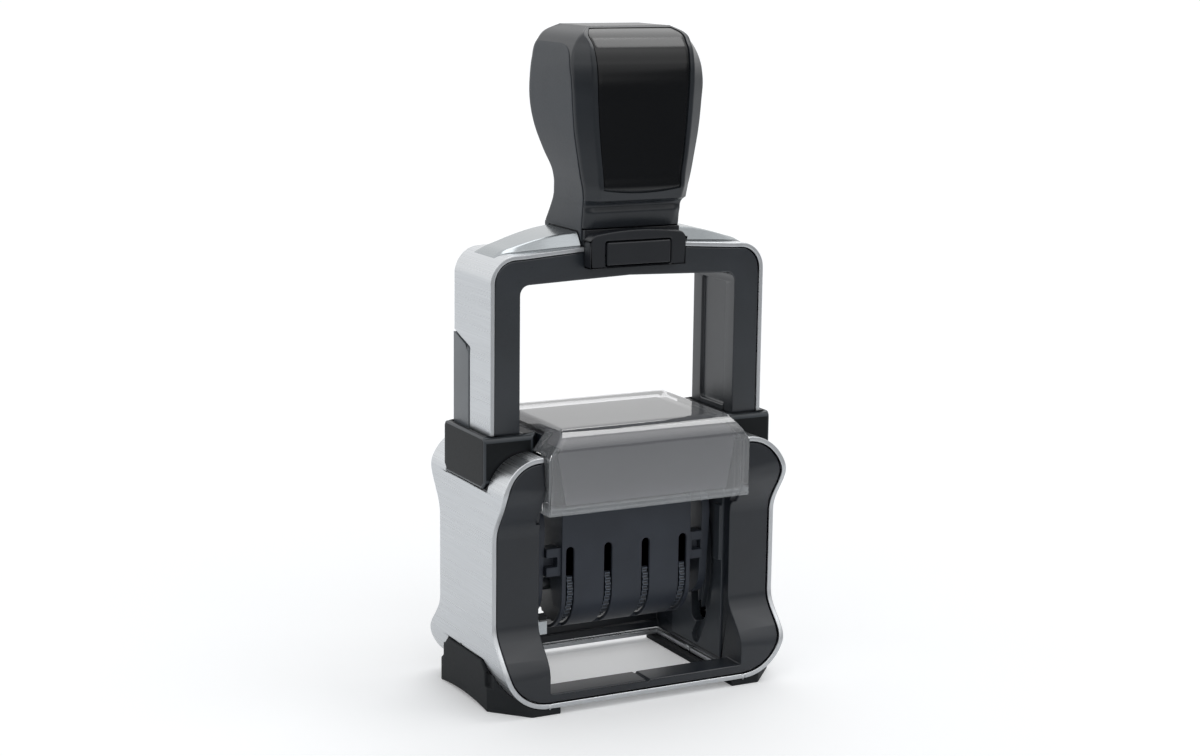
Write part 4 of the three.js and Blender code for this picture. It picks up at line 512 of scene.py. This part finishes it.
# Foot rails: soft dark rubber that runs under the band and turns up into the notch in each side.
# The stamp stands on them, and they are pushed into the band from below.
foot_rubber = moulded("foot rubber", "1b1e21", 0.7, grain=0.0005, depth=0.00002, specular=0.3)
for side in ("left", "right"):
    dressed(side + "_foot_rail", "base", foot_rubber, 0.25)


# Return springs: steel wire wound on a mandrel. They stand on the frame's floor and reach up into a
# bore in each leg. In the stamp they are squeezed as the yoke goes down and lift it again; here each
# coil is a fixed shape on the base.
def coil(name, centre, radius, gauge, low, high, turns):
    """A wire along a helix: a ring of the wire's section, whose radius is the gauge, at each step, with
    flat, closed end turns."""
    steps, sides = int(turns * 28), 8
    t = np.linspace(0, 1, steps)
    rise = np.clip((t * turns - 1) / (turns - 2), 0, 1)
    angle = 2 * np.pi * turns * t
    pitch_z = low + gauge + (high - low - 2 * gauge) * rise
    line = np.stack([centre[0] + radius * np.cos(angle), centre[1] + radius * np.sin(angle), pitch_z], 1)
    tangent = np.gradient(line, axis=0)
    tangent /= np.linalg.norm(tangent, axis=1)[:, None]
    outward = np.stack([np.cos(angle), np.sin(angle), 0 * angle], 1)
    other = np.cross(tangent, outward)
    around = np.linspace(0, 2 * np.pi, sides, endpoint=False)
    ring = (
        line[:, None]
        + gauge * np.cos(around)[None, :, None] * outward[:, None]
        + gauge * np.sin(around)[None, :, None] * other[:, None]
    )
    i, j = np.meshgrid(np.arange(steps - 1), np.arange(sides), indexing="ij")
    a, b = (i * sides + j).ravel(), (i * sides + (j + 1) % sides).ravel()
    faces = np.stack([a, a + sides, b + sides, b], 1).tolist()
    faces.append(list(range(sides)))
    faces.append(list(range(steps * sides - 1, (steps - 1) * sides - 1, -1)))
    made = grid_mesh(name, ring, faces)
    made.data.polygons.foreach_set("use_smooth", np.ones(len(made.data.polygons), bool))
    return made


coil_radius, wire_radius, coil_turns = 1.65, 0.34, 26
for side in ("left", "right"):
    low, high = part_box(side + "_spring")
    spring_middle = ((low + high) / 2 / MM)[:2]
    spring = coil(side + "_coil", spring_middle, coil_radius, wire_radius, low.z / MM, high.z / MM, coil_turns)
    spring.data.materials.append(clip_steel)
    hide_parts(side + "_spring")
    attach(spring, "base")
    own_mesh(spring)


# Clear cover: a hood of clear polystyrene with slanted shoulders over the inscription card. Its
# faces mirror more the flatter they are looked along, and its moulded edges and lip are painted a
# pale half-clear grey, a painted highlight.
def uneven(tree, scale, low, high):
    """A value that drifts between two limits over the surface."""
    place = shader_node(tree, "TexCoord")
    haze = shader_node(tree, "TexNoise", Scale=scale)
    drift = shader_node(tree, "MapRange", To_Min=low, To_Max=high)
    connect(tree, (place.outputs["Object"], haze.inputs["Vector"]), (haze.outputs[0], drift.inputs["Value"]))
    return drift.outputs[0]


def see_through(name, colour, smoothest, roughest, veil_share=0.0, index=None, coat_share=0.0):
    """Thin clear plastic: it lets light straight through but for a share of white veil, and mirrors a
    fixed share or, where it has an index, what the Fresnel formula gives."""
    skin, tree = new_skin(name, bare=True)
    through = shader_node(tree, "BsdfTransparent", Color=tint(colour))
    mirror = shader_node(tree, "BsdfGlossy")
    coat = shader_node(tree, "MixShader")
    coat.inputs[0].default_value = coat_share
    out = shader_node(tree, "OutputMaterial")
    body = through.outputs[0]
    if index:
        mirror.inputs["Color"].default_value = tint("ffffff")
        milk = shader_node(tree, "BsdfDiffuse", Color=tint("d2d6da"))
        veil = shader_node(tree, "MixShader")
        veil.inputs[0].default_value = veil_share
        bounce = shader_node(tree, "Fresnel", IOR=index)
        connect(tree, (body, veil.inputs[1]), (milk.outputs[0], veil.inputs[2]), (bounce.outputs[0], coat.inputs[0]))
        body = veil.outputs[0]
    connect(
        tree,
        (uneven(tree, 400.0, smoothest, roughest), mirror.inputs["Roughness"]),
        (body, coat.inputs[1]),
        (mirror.outputs[0], coat.inputs[2]),
        (coat.outputs[0], out.inputs["Surface"]),
    )
    return skin


clear = see_through("clear plastic", "f1f0f1", 0.02, 0.07, veil_share=0.17, index=2.1)
lining = see_through("clear lining", "f4f4f5", 0.1, 0.2, coat_share=0.03)
# A pale half-clear grey for the cover's rounded edges and lip: a painted highlight.
cover_edge_highlight, tree = new_skin("milky edge painted highlight")
shader = tree.nodes["Principled BSDF"]
shader.inputs["Roughness"].default_value = 0.15
shader.inputs["Base Color"].default_value = tint("dfe3e6")
connect(tree, (uneven(tree, 300.0, 0.2, 0.36), shader.inputs["Alpha"]))
lip_height = 1.7
cover = dressed("clear_cover", "cover", clear, 0.3, 30, cover_edge_highlight)
cover.data.materials.append(lining)
low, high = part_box("clear_cover")
cut = bmesh.new()
cut.from_mesh(cover.data)
lip_top = low.z + lip_height * MM
everything = cut.verts[:] + cut.edges[:] + cut.faces[:]
bmesh.ops.bisect_plane(cut, geom=everything, plane_co=(0, 0, lip_top), plane_no=(0, 0, 1))
cut.to_mesh(cover.data)
cut.free()
centres, normals = np.zeros((2, 3 * len(cover.data.polygons)))
cover.data.polygons.foreach_get("center", centres)
cover.data.polygons.foreach_get("normal", normals)
centres, normals = centres.reshape(-1, 3), normals.reshape(-1, 3)
faces_in = ((centres - np.array(low + high) / 2) * normals).sum(1) < 0
# The lip's faces take the pale edge skin, a painted highlight; inward faces take the lining.
lip_highlight_faces = (centres[:, 2] < lip_top).astype(int)
cover.data.polygons.foreach_set("material_index", np.where(faces_in, 2, lip_highlight_faces))
card_paper = moulded("grey card", "8b8a90", 0.8, grain=0.0002, depth=0.000004, spread=0.03, specular=0.1)
dressed("index_card", "cover", card_paper, 0.08, 30)

# Yoke strap: a strip of the same brushed steel, bent over the arch, which is pressed into it. It is
# notched at the back of each leg for an inlay, and its cut edges are polished.
strap_half, strap_low, strap_depth, strap_thick = 33.8, 37.0, 9.6, 1.0
shoulder_top, shoulder_round, crown, crown_half = 99.6, 6, 100.9, 10.4
strap_corners = [
    (strap_half, strap_low, 0),
    (strap_half, shoulder_top, shoulder_round),
    (26, 99.81, 30),
    (crown_half, crown, 30),
    (0, crown, 0),
]
half_path = refine(bent_path(strap_corners, 22), 1.5)
strip_top, strip_front, strip_fall, deepest_cut = 81.3, 1.3, 2.6, 0.98
leg_zone, uncut_share = 0.5, 0.9
notch_z = np.array([strip_top - strip_fall, strip_top - strip_fall / 2, strip_top])
half_path = with_points(half_path, notch_z - strap_low)
full_path = np.vstack([half_path, (half_path[:-1] * (-1, 1))[::-1]])
x, z = np.abs(full_path[:, 0]), full_path[:, 1]
slant = np.clip((z - strip_top + strip_fall) / strip_fall, 0, deepest_cut)
notch = strip_front + (strap_depth - strip_front) * slant
notch = np.where((z > strip_top) | (x < strap_half - leg_zone), strap_depth * uncut_share, notch)
edges = np.stack([np.full_like(z, -strap_depth), notch, np.full_like(z, strap_depth)], 1)
zm = (z[1:] + z[:-1]) / 2
keep = np.stack([np.ones(len(zm), bool), (zm > strip_top)], 1)
strap = sheet_strip("yoke_strap", full_path, edges, keep, strap_thick)
strap.data.materials.append(band_steel)
strap.data.materials.append(rim_steel)
soften(strap, edge_round, 2, 40)
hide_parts("yoke_band")
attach(strap, "yoke")

# Arch: one dark satin moulding inside the strap, with a panel let into the inner face of each leg.
# Two inlays of a lighter plastic are snapped on its legs behind the strap's notches.
arch_plastic = moulded("arch plastic", "282d33", 0.3, specular=0.9)
dressed("yoke_frame", "yoke", arch_plastic, 0.3)
strip_plastic = moulded("strip plastic", "5a5f64", 0.3, specular=0.8)
for side in ("left", "right"):
    dressed(side + "_leg_strip", "yoke", strip_plastic, 0.3)

# Fairings: satin steel wedges that carry the strap's line up to the hub on both sides. Each has a
# flat ridge and two slanted flanks, narrow at the shoulder and as deep as the hub's neck inside.
fairing_steel = brushed("fairing steel", "a9aeb1", 0.2, streak=(40, 1, 1), contrast=0.04, depth=0.000001)


def soft_ring(corners, reach, steps=6):
    """Sections with rounded corners: each corner becomes a quadratic curve that leaves and meets its two
    sides a reach away from it, or at most 0.45 of the side. Corners are (rows, n, 2), and each gives
    steps + 1 points."""
    back, on = np.roll(corners, 1, axis=1) - corners, np.roll(corners, -1, axis=1) - corners
    start = corners + back * np.minimum(reach / np.linalg.norm(back, axis=2), 0.45)[..., None]
    stop = corners + on * np.minimum(reach / np.linalg.norm(on, axis=2), 0.45)[..., None]
    s = np.linspace(0, 1, steps + 1)[:, None]
    curve = (1 - s) ** 2 * start[:, :, None] + 2 * s * (1 - s) * corners[:, :, None] + s**2 * stop[:, :, None]
    return curve.reshape(len(corners), -1, 2)


def closed_loft(name, rings):
    """A closed skin through rings of (rows, columns, 3), whose columns run round; both ends are capped."""
    rows, cols = rings.shape[:2]
    i, j = np.meshgrid(np.arange(rows - 1), np.arange(cols), indexing="ij")
    a, b = (i * cols + j).ravel(), (i * cols + (j + 1) % cols).ravel()
    faces = np.stack([a, b, b + cols, a + cols], 1).tolist()
    faces += [list(range(cols))[::-1], list(range((rows - 1) * cols, rows * cols))]
    made = grid_mesh(name, rings, faces)
    outward = bmesh.new()
    outward.from_mesh(made.data)
    bmesh.ops.remove_doubles(outward, verts=outward.verts, dist=2e-7)
    bmesh.ops.recalc_face_normals(outward, faces=outward.faces)
    outward.to_mesh(made.data)
    outward.free()
    shade_smooth(made, keep_sharp=True)
    made.data.set_sharp_from_angle(angle=np.radians(38))
    return made


fairing_outer, fairing_inner, fairing_rise, fairing_sunk = 31.0, 12.15, 3.12, 0.04
tip_side, tip_ridge, side_rise, side_run = 0.05, 0.06, 0.35, 3
tip_share, foot_half, ridge_half = 0.6, 8.8, 7.0
foot_reach, side_reach, ridge_reach = 0.05, 0.12, 0.5
share = np.linspace(0, 1, 48)
fairing_x = fairing_outer + (fairing_inner - fairing_outer) * share
above = half_path[:, 1] > shoulder_top - shoulder_round
strap_line = np.interp(-fairing_x, -half_path[above, 0], half_path[above, 1])
foot_z = strap_line - fairing_sunk
side_z = foot_z + tip_side + side_rise * np.clip(share * side_run, 0, 1)
ridge_z = foot_z + tip_ridge + fairing_rise * np.sin(share * np.pi / 2)
spread = tip_share + (1 - tip_share) * share
foot, ridge = foot_half * spread, ridge_half * spread
section_y = np.stack([-foot, foot, foot, ridge, -ridge, -foot], 1)
section_z = np.stack([foot_z, foot_z, side_z, ridge_z, ridge_z, side_z], 1)
section = np.stack([section_y, section_z], -1)
reaches = np.array([foot_reach, foot_reach, side_reach, ridge_reach, ridge_reach, side_reach])
outline = soft_ring(section, reaches, 5)
for side, sense in (("left", -1), ("right", 1)):
    x = np.repeat(sense * fairing_x[:, None], outline.shape[1], 1)
    fairing = closed_loft(side + "_wedge", np.stack([x, outline[..., 0], outline[..., 1]], -1))
    fairing.data.materials.append(fairing_steel)
    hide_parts(side + "_fairing")
    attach(fairing, "yoke")

# Hub: a dark moulded saddle that sits over the arch's crown, with a window in its face for the
# lock button. A leaf spring behind the button and the grip's steel screw are inside it.
hub_plastic = moulded("hub plastic", "1b1e23", 0.42)
hub_half, hub_low, hub_top, hub_drop, hub_front, hub_rear, strap_room = 11.7, 96.3, 104.5, 1.0, 13.0, 10.9, 9.7
button_half, button_low, button_high, button_gap = 7.8, 96.95, 101.95, 0.25


def windowed_plate(name, xs, tops, low, y, thick, window):
    """A plate that stands upright: columns at xs rise from low to their own top, the cells between the
    window's four edges are left out with the corners that only they use, and the wall grows backwards
    from y."""
    shares = np.array([0, (window[2] - low) / 3, (window[2] - low) * 2 / 3, window[2] - low, window[3] - low])
    level = low + np.repeat(shares[None], len(xs), 0)
    above = tops[:, None] - (tops[:, None] - window[3]) * np.array([0.66, 0.33, 0])
    z = np.concatenate([level, above], 1)
    points = np.stack([np.repeat(xs[:, None], z.shape[1], 1), np.full(z.shape, y), z], -1)
    i, j = np.meshgrid(np.arange(len(xs) - 1), np.arange(z.shape[1] - 1), indexing="ij")
    middle = (xs[1:] + xs[:-1]) / 2
    open_cell = (middle[i] > window[0]) & (middle[i] < window[1]) & (j == 3)
    a = (i * z.shape[1] + j)[~open_cell]
    used, quad = np.unique(np.stack([a, a + z.shape[1], a + z.shape[1] + 1, a + 1], 1), return_inverse=True)
    plate = grid_mesh(name, points.reshape(-1, 3)[used], quad.reshape(-1, 4).tolist())
    wall = plate.modifiers.new("wall", "SOLIDIFY")
    wall.thickness, wall.offset = thick * MM, -1.0
    soften(plate, 0.35, 3, 50)
    plate.data.materials.append(hub_plastic)
    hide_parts("hub")
    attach(plate, "yoke")


turn = np.linspace(0, np.pi / 2, 7)
hub_round = 1.4
round_x = hub_half - hub_round * (1 - np.sin(turn))
slot_half = button_half + button_gap
xs = np.concatenate([round_x, -round_x, [-slot_half, slot_half], np.linspace(-10, 10, 17)])
xs = np.unique(np.round(xs, 4))
past_corner = np.clip(np.abs(xs) - (hub_half - hub_round), 0, None) / hub_round
fall = hub_round * (1 - np.sqrt(np.clip(1 - past_corner**2, 0, 1)))
tops = hub_top - hub_drop * (xs / hub_half) ** 2 - fall
window = (-slot_half, slot_half, button_low - button_gap, button_high + button_gap)
windowed_plate("hub_face", xs, tops, hub_low, -hub_front, hub_front - strap_room, window)


def soft_block(name, node, body, low, high, width):
    """A box of the hub's plastic between two corners, with each edge rounded by a width."""
    x, y, z = np.meshgrid(*np.stack([low, high], 1), indexing="ij")
    points = np.stack([x, y, z], -1).reshape(-1, 3)
    faces = [(0, 1, 3, 2), (4, 6, 7, 5), (0, 4, 5, 1), (2, 3, 7, 6), (0, 2, 6, 4), (1, 5, 7, 3)]
    block = grid_mesh(name, points, faces)
    soften(block, width, 3)
    block.data.materials.append(hub_plastic)
    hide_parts(node)
    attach(block, body)


seat_low, seat_front, back_high = crown + 0.1, -strap_room - 0.2, 101.4
soft_block("hub_seat", "hub", "yoke", (-hub_half, seat_front, seat_low), (hub_half, strap_room, hub_top), 0.15)
soft_block("hub_back", "hub", "yoke", (-hub_half, strap_room, hub_low), (hub_half, hub_rear, back_high), 0.4)
dressed("lock_spring", "yoke", clip_steel, 0.05)
dressed("handle_screw", "yoke", clip_steel, 0.2)
button_proud, button_thick = 0.3, 1.2
button_front = -hub_front - button_proud
button_back = button_front + button_thick
button_corners = (-button_half, button_front, button_low), (button_half, button_back, button_high)
soft_block("button_plate", "lock_button", "button", *button_corners, 0.35)
for side in ("left", "right"):
    dressed(side + "_stub_axle", "yoke", clip_steel, 0.2)

# Grip: a dark satin moulding with eight sides that meet in soft edges, screwed down on the hub.
# Its front and rear have a shallow pocket for the gloss panels, and a lip overhangs the neck.
bezel_plastic = moulded("bezel plastic", "23272c", 0.3)
grip_low, grip_high, grip_half, grip_depth = 104.8, 148.0, 16.0, 14.4
# Height share, then the half-width and depth shares of the face corner, the front shoulder, the
# rear shoulder and the back corner.
grip_shares = np.array(
    [
        [0, 0.62, 0.68, 0.74, 0.65, 0.74, 0.65, 0.6, 0.7],
        [0.074, 0.625, 0.75, 0.744, 0.68, 0.694, 0.583, 0.57, 0.65],
        [0.13, 0.62, 0.8, 0.76, 0.74, 0.675, 0.528, 0.55, 0.6],
        [0.144, 0.625, 0.93, 0.78, 0.79, 0.674, 0.518, 0.548, 0.595],
        [0.2, 0.64, 0.995, 0.8, 0.805, 0.676, 0.507, 0.55, 0.6],
        [0.26, 0.65, 0.995, 0.838, 0.812, 0.706, 0.507, 0.56, 0.62],
        [0.363, 0.685, 1, 0.888, 0.819, 0.794, 0.625, 0.62, 0.76],
        [0.49, 0.72, 1, 0.944, 0.826, 0.9, 0.708, 0.7, 0.9],
        [0.618, 0.745, 1, 0.975, 0.833, 0.956, 0.743, 0.74, 0.97],
        [0.745, 0.76, 1, 0.994, 0.826, 0.956, 0.736, 0.76, 0.98],
        [0.826, 0.767, 0.975, 0.985, 0.75, 0.94, 0.708, 0.767, 0.96],
        [0.914, 0.774, 0.86, 0.888, 0.66, 0.885, 0.66, 0.774, 0.86],
        [0.972, 0.755, 0.65, 0.75, 0.6, 0.74, 0.6, 0.73, 0.65],
        [1, 0.64, 0.47, 0.6, 0.43, 0.6, 0.43, 0.62, 0.47],
    ]
)
straight_rows = (2, 3)  # the lip, whose two edges stay crisp


def between_rows(table, at):
    """Rows of a table at places between its first column's: cubic pieces whose slope at each row is a
    weighted mean of the slopes to its two neighbours, and straight ones at the lip."""
    keys, values = table[:, 0], table[:, 1:]
    slopes = np.gradient(values, keys, axis=0)
    k = np.clip(np.searchsorted(keys, at, side="right") - 1, 0, len(keys) - 2)
    span = (keys[k + 1] - keys[k])[:, None]
    s = (at - keys[k])[:, None] / span
    rise = (2 * s**3 - 3 * s**2 + 1) * values[k] + (3 * s**2 - 2 * s**3) * values[k + 1]
    smooth = rise + span * ((s**3 - 2 * s**2 + s) * slopes[k] + (s**3 - s**2) * slopes[k + 1])
    straight = values[k] * (1 - s) + values[k + 1] * s
    return np.where(np.isin(k, straight_rows)[:, None], straight, smooth)


def grip_corners(z):
    """The eight corners of the grip's section at heights z, from the right face corner to the left one."""
    row = between_rows(grip_shares, (np.asarray(z) - grip_low) / (grip_high - grip_low))
    x, y = row[:, 0::2] * grip_half, row[:, 1::2] * grip_depth * np.array([-1, -1, 1, 1])
    right = np.stack([x, y], -1)
    return np.concatenate([right, right[:, ::-1] * (-1, 1)], 1)


panel_bottom, panel_top, panel_sag, sag_reach, pocket_deep, hair = 113.4, 147.6, 0.9, 2.2, 0.5, 0.02
lip_z, crown_z = 114.5, 140
grip_z = np.unique(
    np.concatenate(
        [
            np.linspace(grip_low, lip_z, 40),
            np.linspace(lip_z, crown_z, 50),
            np.linspace(crown_z, grip_high - hair, 50),
            [panel_bottom - hair, panel_bottom + hair, panel_top - hair, panel_top + hair],
        ]
    )
)
corner_reach = np.array([0.5, 0.6, 0.6, 0.5, 0.5, 0.6, 0.6, 0.5])
corner_steps = 6
sections = soft_ring(grip_corners(grip_z), corner_reach, corner_steps)
rear_edge, front_edge = 4 * (corner_steps + 1) - 1, 8 * (corner_steps + 1) - 1  # last points before those faces


def face_grid(edge, sense, across, sink):
    """Points of the front (sense -1) or rear face: its width runs between the rounded corners' ends, its
    depth follows the height, rows near the panel's lower edge sag, and a pocket is sunk behind the panel."""
    ends = sections[:, edge]
    half = np.abs(ends[:, 0])[:, None]
    depth = ends[:, 1]
    sag = panel_sag * np.clip(1 - np.abs(grip_z - panel_bottom) / sag_reach, 0, 1)
    z = grip_z[:, None] - sag[:, None] * (1 - across[None] ** 2)
    y = np.interp(z, grip_z, depth)
    inside = (grip_z[:, None] > panel_bottom) & (grip_z[:, None] < panel_top)
    y = y - sense * inside * sink
    return np.stack([half * across[None] + 0 * z, y, z], -1)


pocket_edge, wall_share = 0.965, 0.002
flat_across = np.linspace(-pocket_edge, pocket_edge, 17)
across = np.concatenate([[-pocket_edge - wall_share], flat_across, [pocket_edge + wall_share]])
pocket = np.where(np.abs(across) <= pocket_edge, pocket_deep, 0.0)[None]
around = np.concatenate([sections, np.repeat(grip_z[:, None, None], sections.shape[1], 1)], -1)
rear_face = face_grid(rear_edge, 1, -across, pocket)
front_face = face_grid(front_edge, -1, across, pocket)
rings = np.concatenate([around[:, : rear_edge + 1], rear_face, around[:, rear_edge + 1 :], front_face], 1)
crown_shares = np.array([0.97, 0.88, 0.7, 0.45, 0.2, 0.03])
cap = rings[-1:] * np.concatenate([np.repeat(crown_shares[:, None], 2, 1), np.ones((6, 1))], 1)[:, None]
grip = closed_loft("grip_body", np.concatenate([rings, cap]))
grip.data.materials.append(bezel_plastic)
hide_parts("grip_core")
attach(grip, "yoke")


# Gloss panels: thin shields of polished black plastic, a little crowned across, that are glued
# into the grip's two pockets.
def thin_patch(name, points, thick, flip):
    """An open grid of (rows, columns, 3) with a wall that grows inwards and a rounded rim."""
    rows, cols = points.shape[:2]
    i, j = np.meshgrid(np.arange(rows - 1), np.arange(cols - 1), indexing="ij")
    a = (i * cols + j).ravel()
    quad = np.stack([a, a + 1, a + 1 + cols, a + cols], 1)
    made = grid_mesh(name, points, (quad[:, ::-1] if flip else quad).tolist())
    wall = made.modifiers.new("wall", "SOLIDIFY")
    wall.thickness, wall.offset = thick * MM, -1.0
    rim = made.modifiers.new("round rim", "BEVEL")
    rim.width, rim.segments, rim.limit_method, rim.angle_limit = 0.14 * MM, 2, "ANGLE", np.radians(50)
    shade_smooth(made)
    return made


gloss_plastic = moulded("gloss panel", "0a0c0f", 0.17, depth=0.0000005, spread=0.05, specular=0.55)
gap_below, gap_above, gap_beside, panel_sunk, panel_crown, panel_thick = 0.15, 0.1, 0.016, 0.2, 0.15, 0.35
in_panel = (grip_z > panel_bottom + gap_below) & (grip_z < panel_top - gap_above)
panel_across = np.linspace(-pocket_edge + gap_beside, pocket_edge - gap_beside, 25)
for side, edge, sense in (("front", front_edge, -1), ("rear", rear_edge, 1)):
    face = face_grid(edge, sense, panel_across, 0.0)[in_panel]
    face[..., 1] -= sense * (panel_sunk - panel_crown * (1 - panel_across**2))
    panel = thin_patch(side + "_gloss", face, panel_thick, sense > 0)
    panel.data.materials.append(gloss_plastic)
    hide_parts(side + "_panel")
    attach(panel, "yoke")

# Side pads: skins of matt dark grey plastic, moulded to the grip's sides and glued on, with a rounded
# front upper corner. Below, they run down over the hub's sides as far as the fairings and the strap.
pad_plastic = moulded("pad plastic", "2d3238", 0.5, grain=0.00045, depth=0.000012)
pad_high, pad_turn, pad_back, pad_margin, pad_proud, pad_thick = 144.3, 4.4, -2.2, 0.7, 0.12, 0.24
pad_rows, turn = 69, np.linspace(0, 1, 16)
straight_z = np.linspace(grip_low, pad_high - pad_turn, pad_rows + 1)[:-1]
pad_z = np.concatenate([straight_z, pad_high - (1 - turn) ** 2 * pad_turn])
turned_back = np.concatenate([np.zeros(pad_rows), turn**2])
corners = grip_corners(pad_z)
front, rear = corners[:, 1] + (0, pad_margin), corners[:, 2] - (0, pad_margin)
front_y = front[:, 1] + turned_back * (pad_back - front[:, 1])
u = np.linspace(0, 1, 33)
y = front_y[:, None] + (rear[:, 1] - front_y)[:, None] * u
lean = (y - front[:, 1:]) / (rear[:, 1:] - front[:, 1:])
x = front[:, :1] + (rear[:, :1] - front[:, :1]) * lean + pad_proud
z = np.repeat(pad_z[:, None], len(u), 1)
skirt_depths, skirt_rises = [0, 7.1, 8.9], np.array([3.2, 3.2, 0.6])
skirt_foot = crown + np.interp(np.abs(y[0]), skirt_depths, skirt_rises)
skirt_rows = 8
drop = np.linspace(1, 0, skirt_rows + 1)[:-1, None]
skirt_z = grip_low + (skirt_foot - grip_low) * drop
x, y = (np.vstack([np.repeat(rows_of[:1], skirt_rows, 0), rows_of]) for rows_of in (x, y))
z = np.vstack([skirt_z, z])
for side, sense in (("left", -1), ("right", 1)):
    pad = thin_patch(side + "_pad", np.stack([sense * x, y, z], -1), pad_thick, sense < 0)
    pad.data.materials.append(pad_plastic)
    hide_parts(side + "_grip_pad")
    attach(pad, "yoke")

# Date unit: cheeks, bridge and drum cover of bluish dark plastic on steel pins and an axle. Four
# moulded wheels, whose teeth stand out of the cover's slots, turn the rubber date bands. The
# teeth's rounded edges are painted a lighter grey, a painted highlight.
drum_plastic = moulded("drum plastic", "31363f", 0.42, specular=0.35)
for node in ("left_cheek", "right_cheek", "print_bridge", "drum_cover"):
    dressed(node, "date_unit", drum_plastic, 0.15, whole=node == "drum_cover")
for node in ("left_guide_pin", "right_guide_pin", "wheel_axle"):
    dressed(node, "date_unit", clip_steel, 0.15)
band_rubber = moulded("band rubber", "1d1f22", 0.75, grain=0.0003, depth=0.00001)
wheel_plastic = moulded("wheel plastic", "1f242b", 0.4)
# A lighter grey for the wheels' rounded tooth edges: a painted highlight.
tooth_edge_highlight = moulded("tooth edge painted highlight", "5c6470", 0.3)
for number in "1234":
    dressed("date_band_" + number, "date_unit", band_rubber, 0.12)
    dressed("thumbwheel_" + number, "wheel_" + number, wheel_plastic, 0.1, 35, tooth_edge_highlight)

# Ink cartridge: a dark moulded tray that slides in from behind, with finger ribs on its back end
# and a pad of inked felt that faces down.
tray_plastic = moulded("tray plastic", "262a2f", 0.5)
dressed("cartridge_tray", "cartridge", tray_plastic, 0.3)
pad_felt = moulded("ink felt", "20243a", 0.9, grain=0.0003, depth=0.00005, spread=0.2)
dressed("ink_pad", "cartridge", pad_felt, 0.3)

low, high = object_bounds()
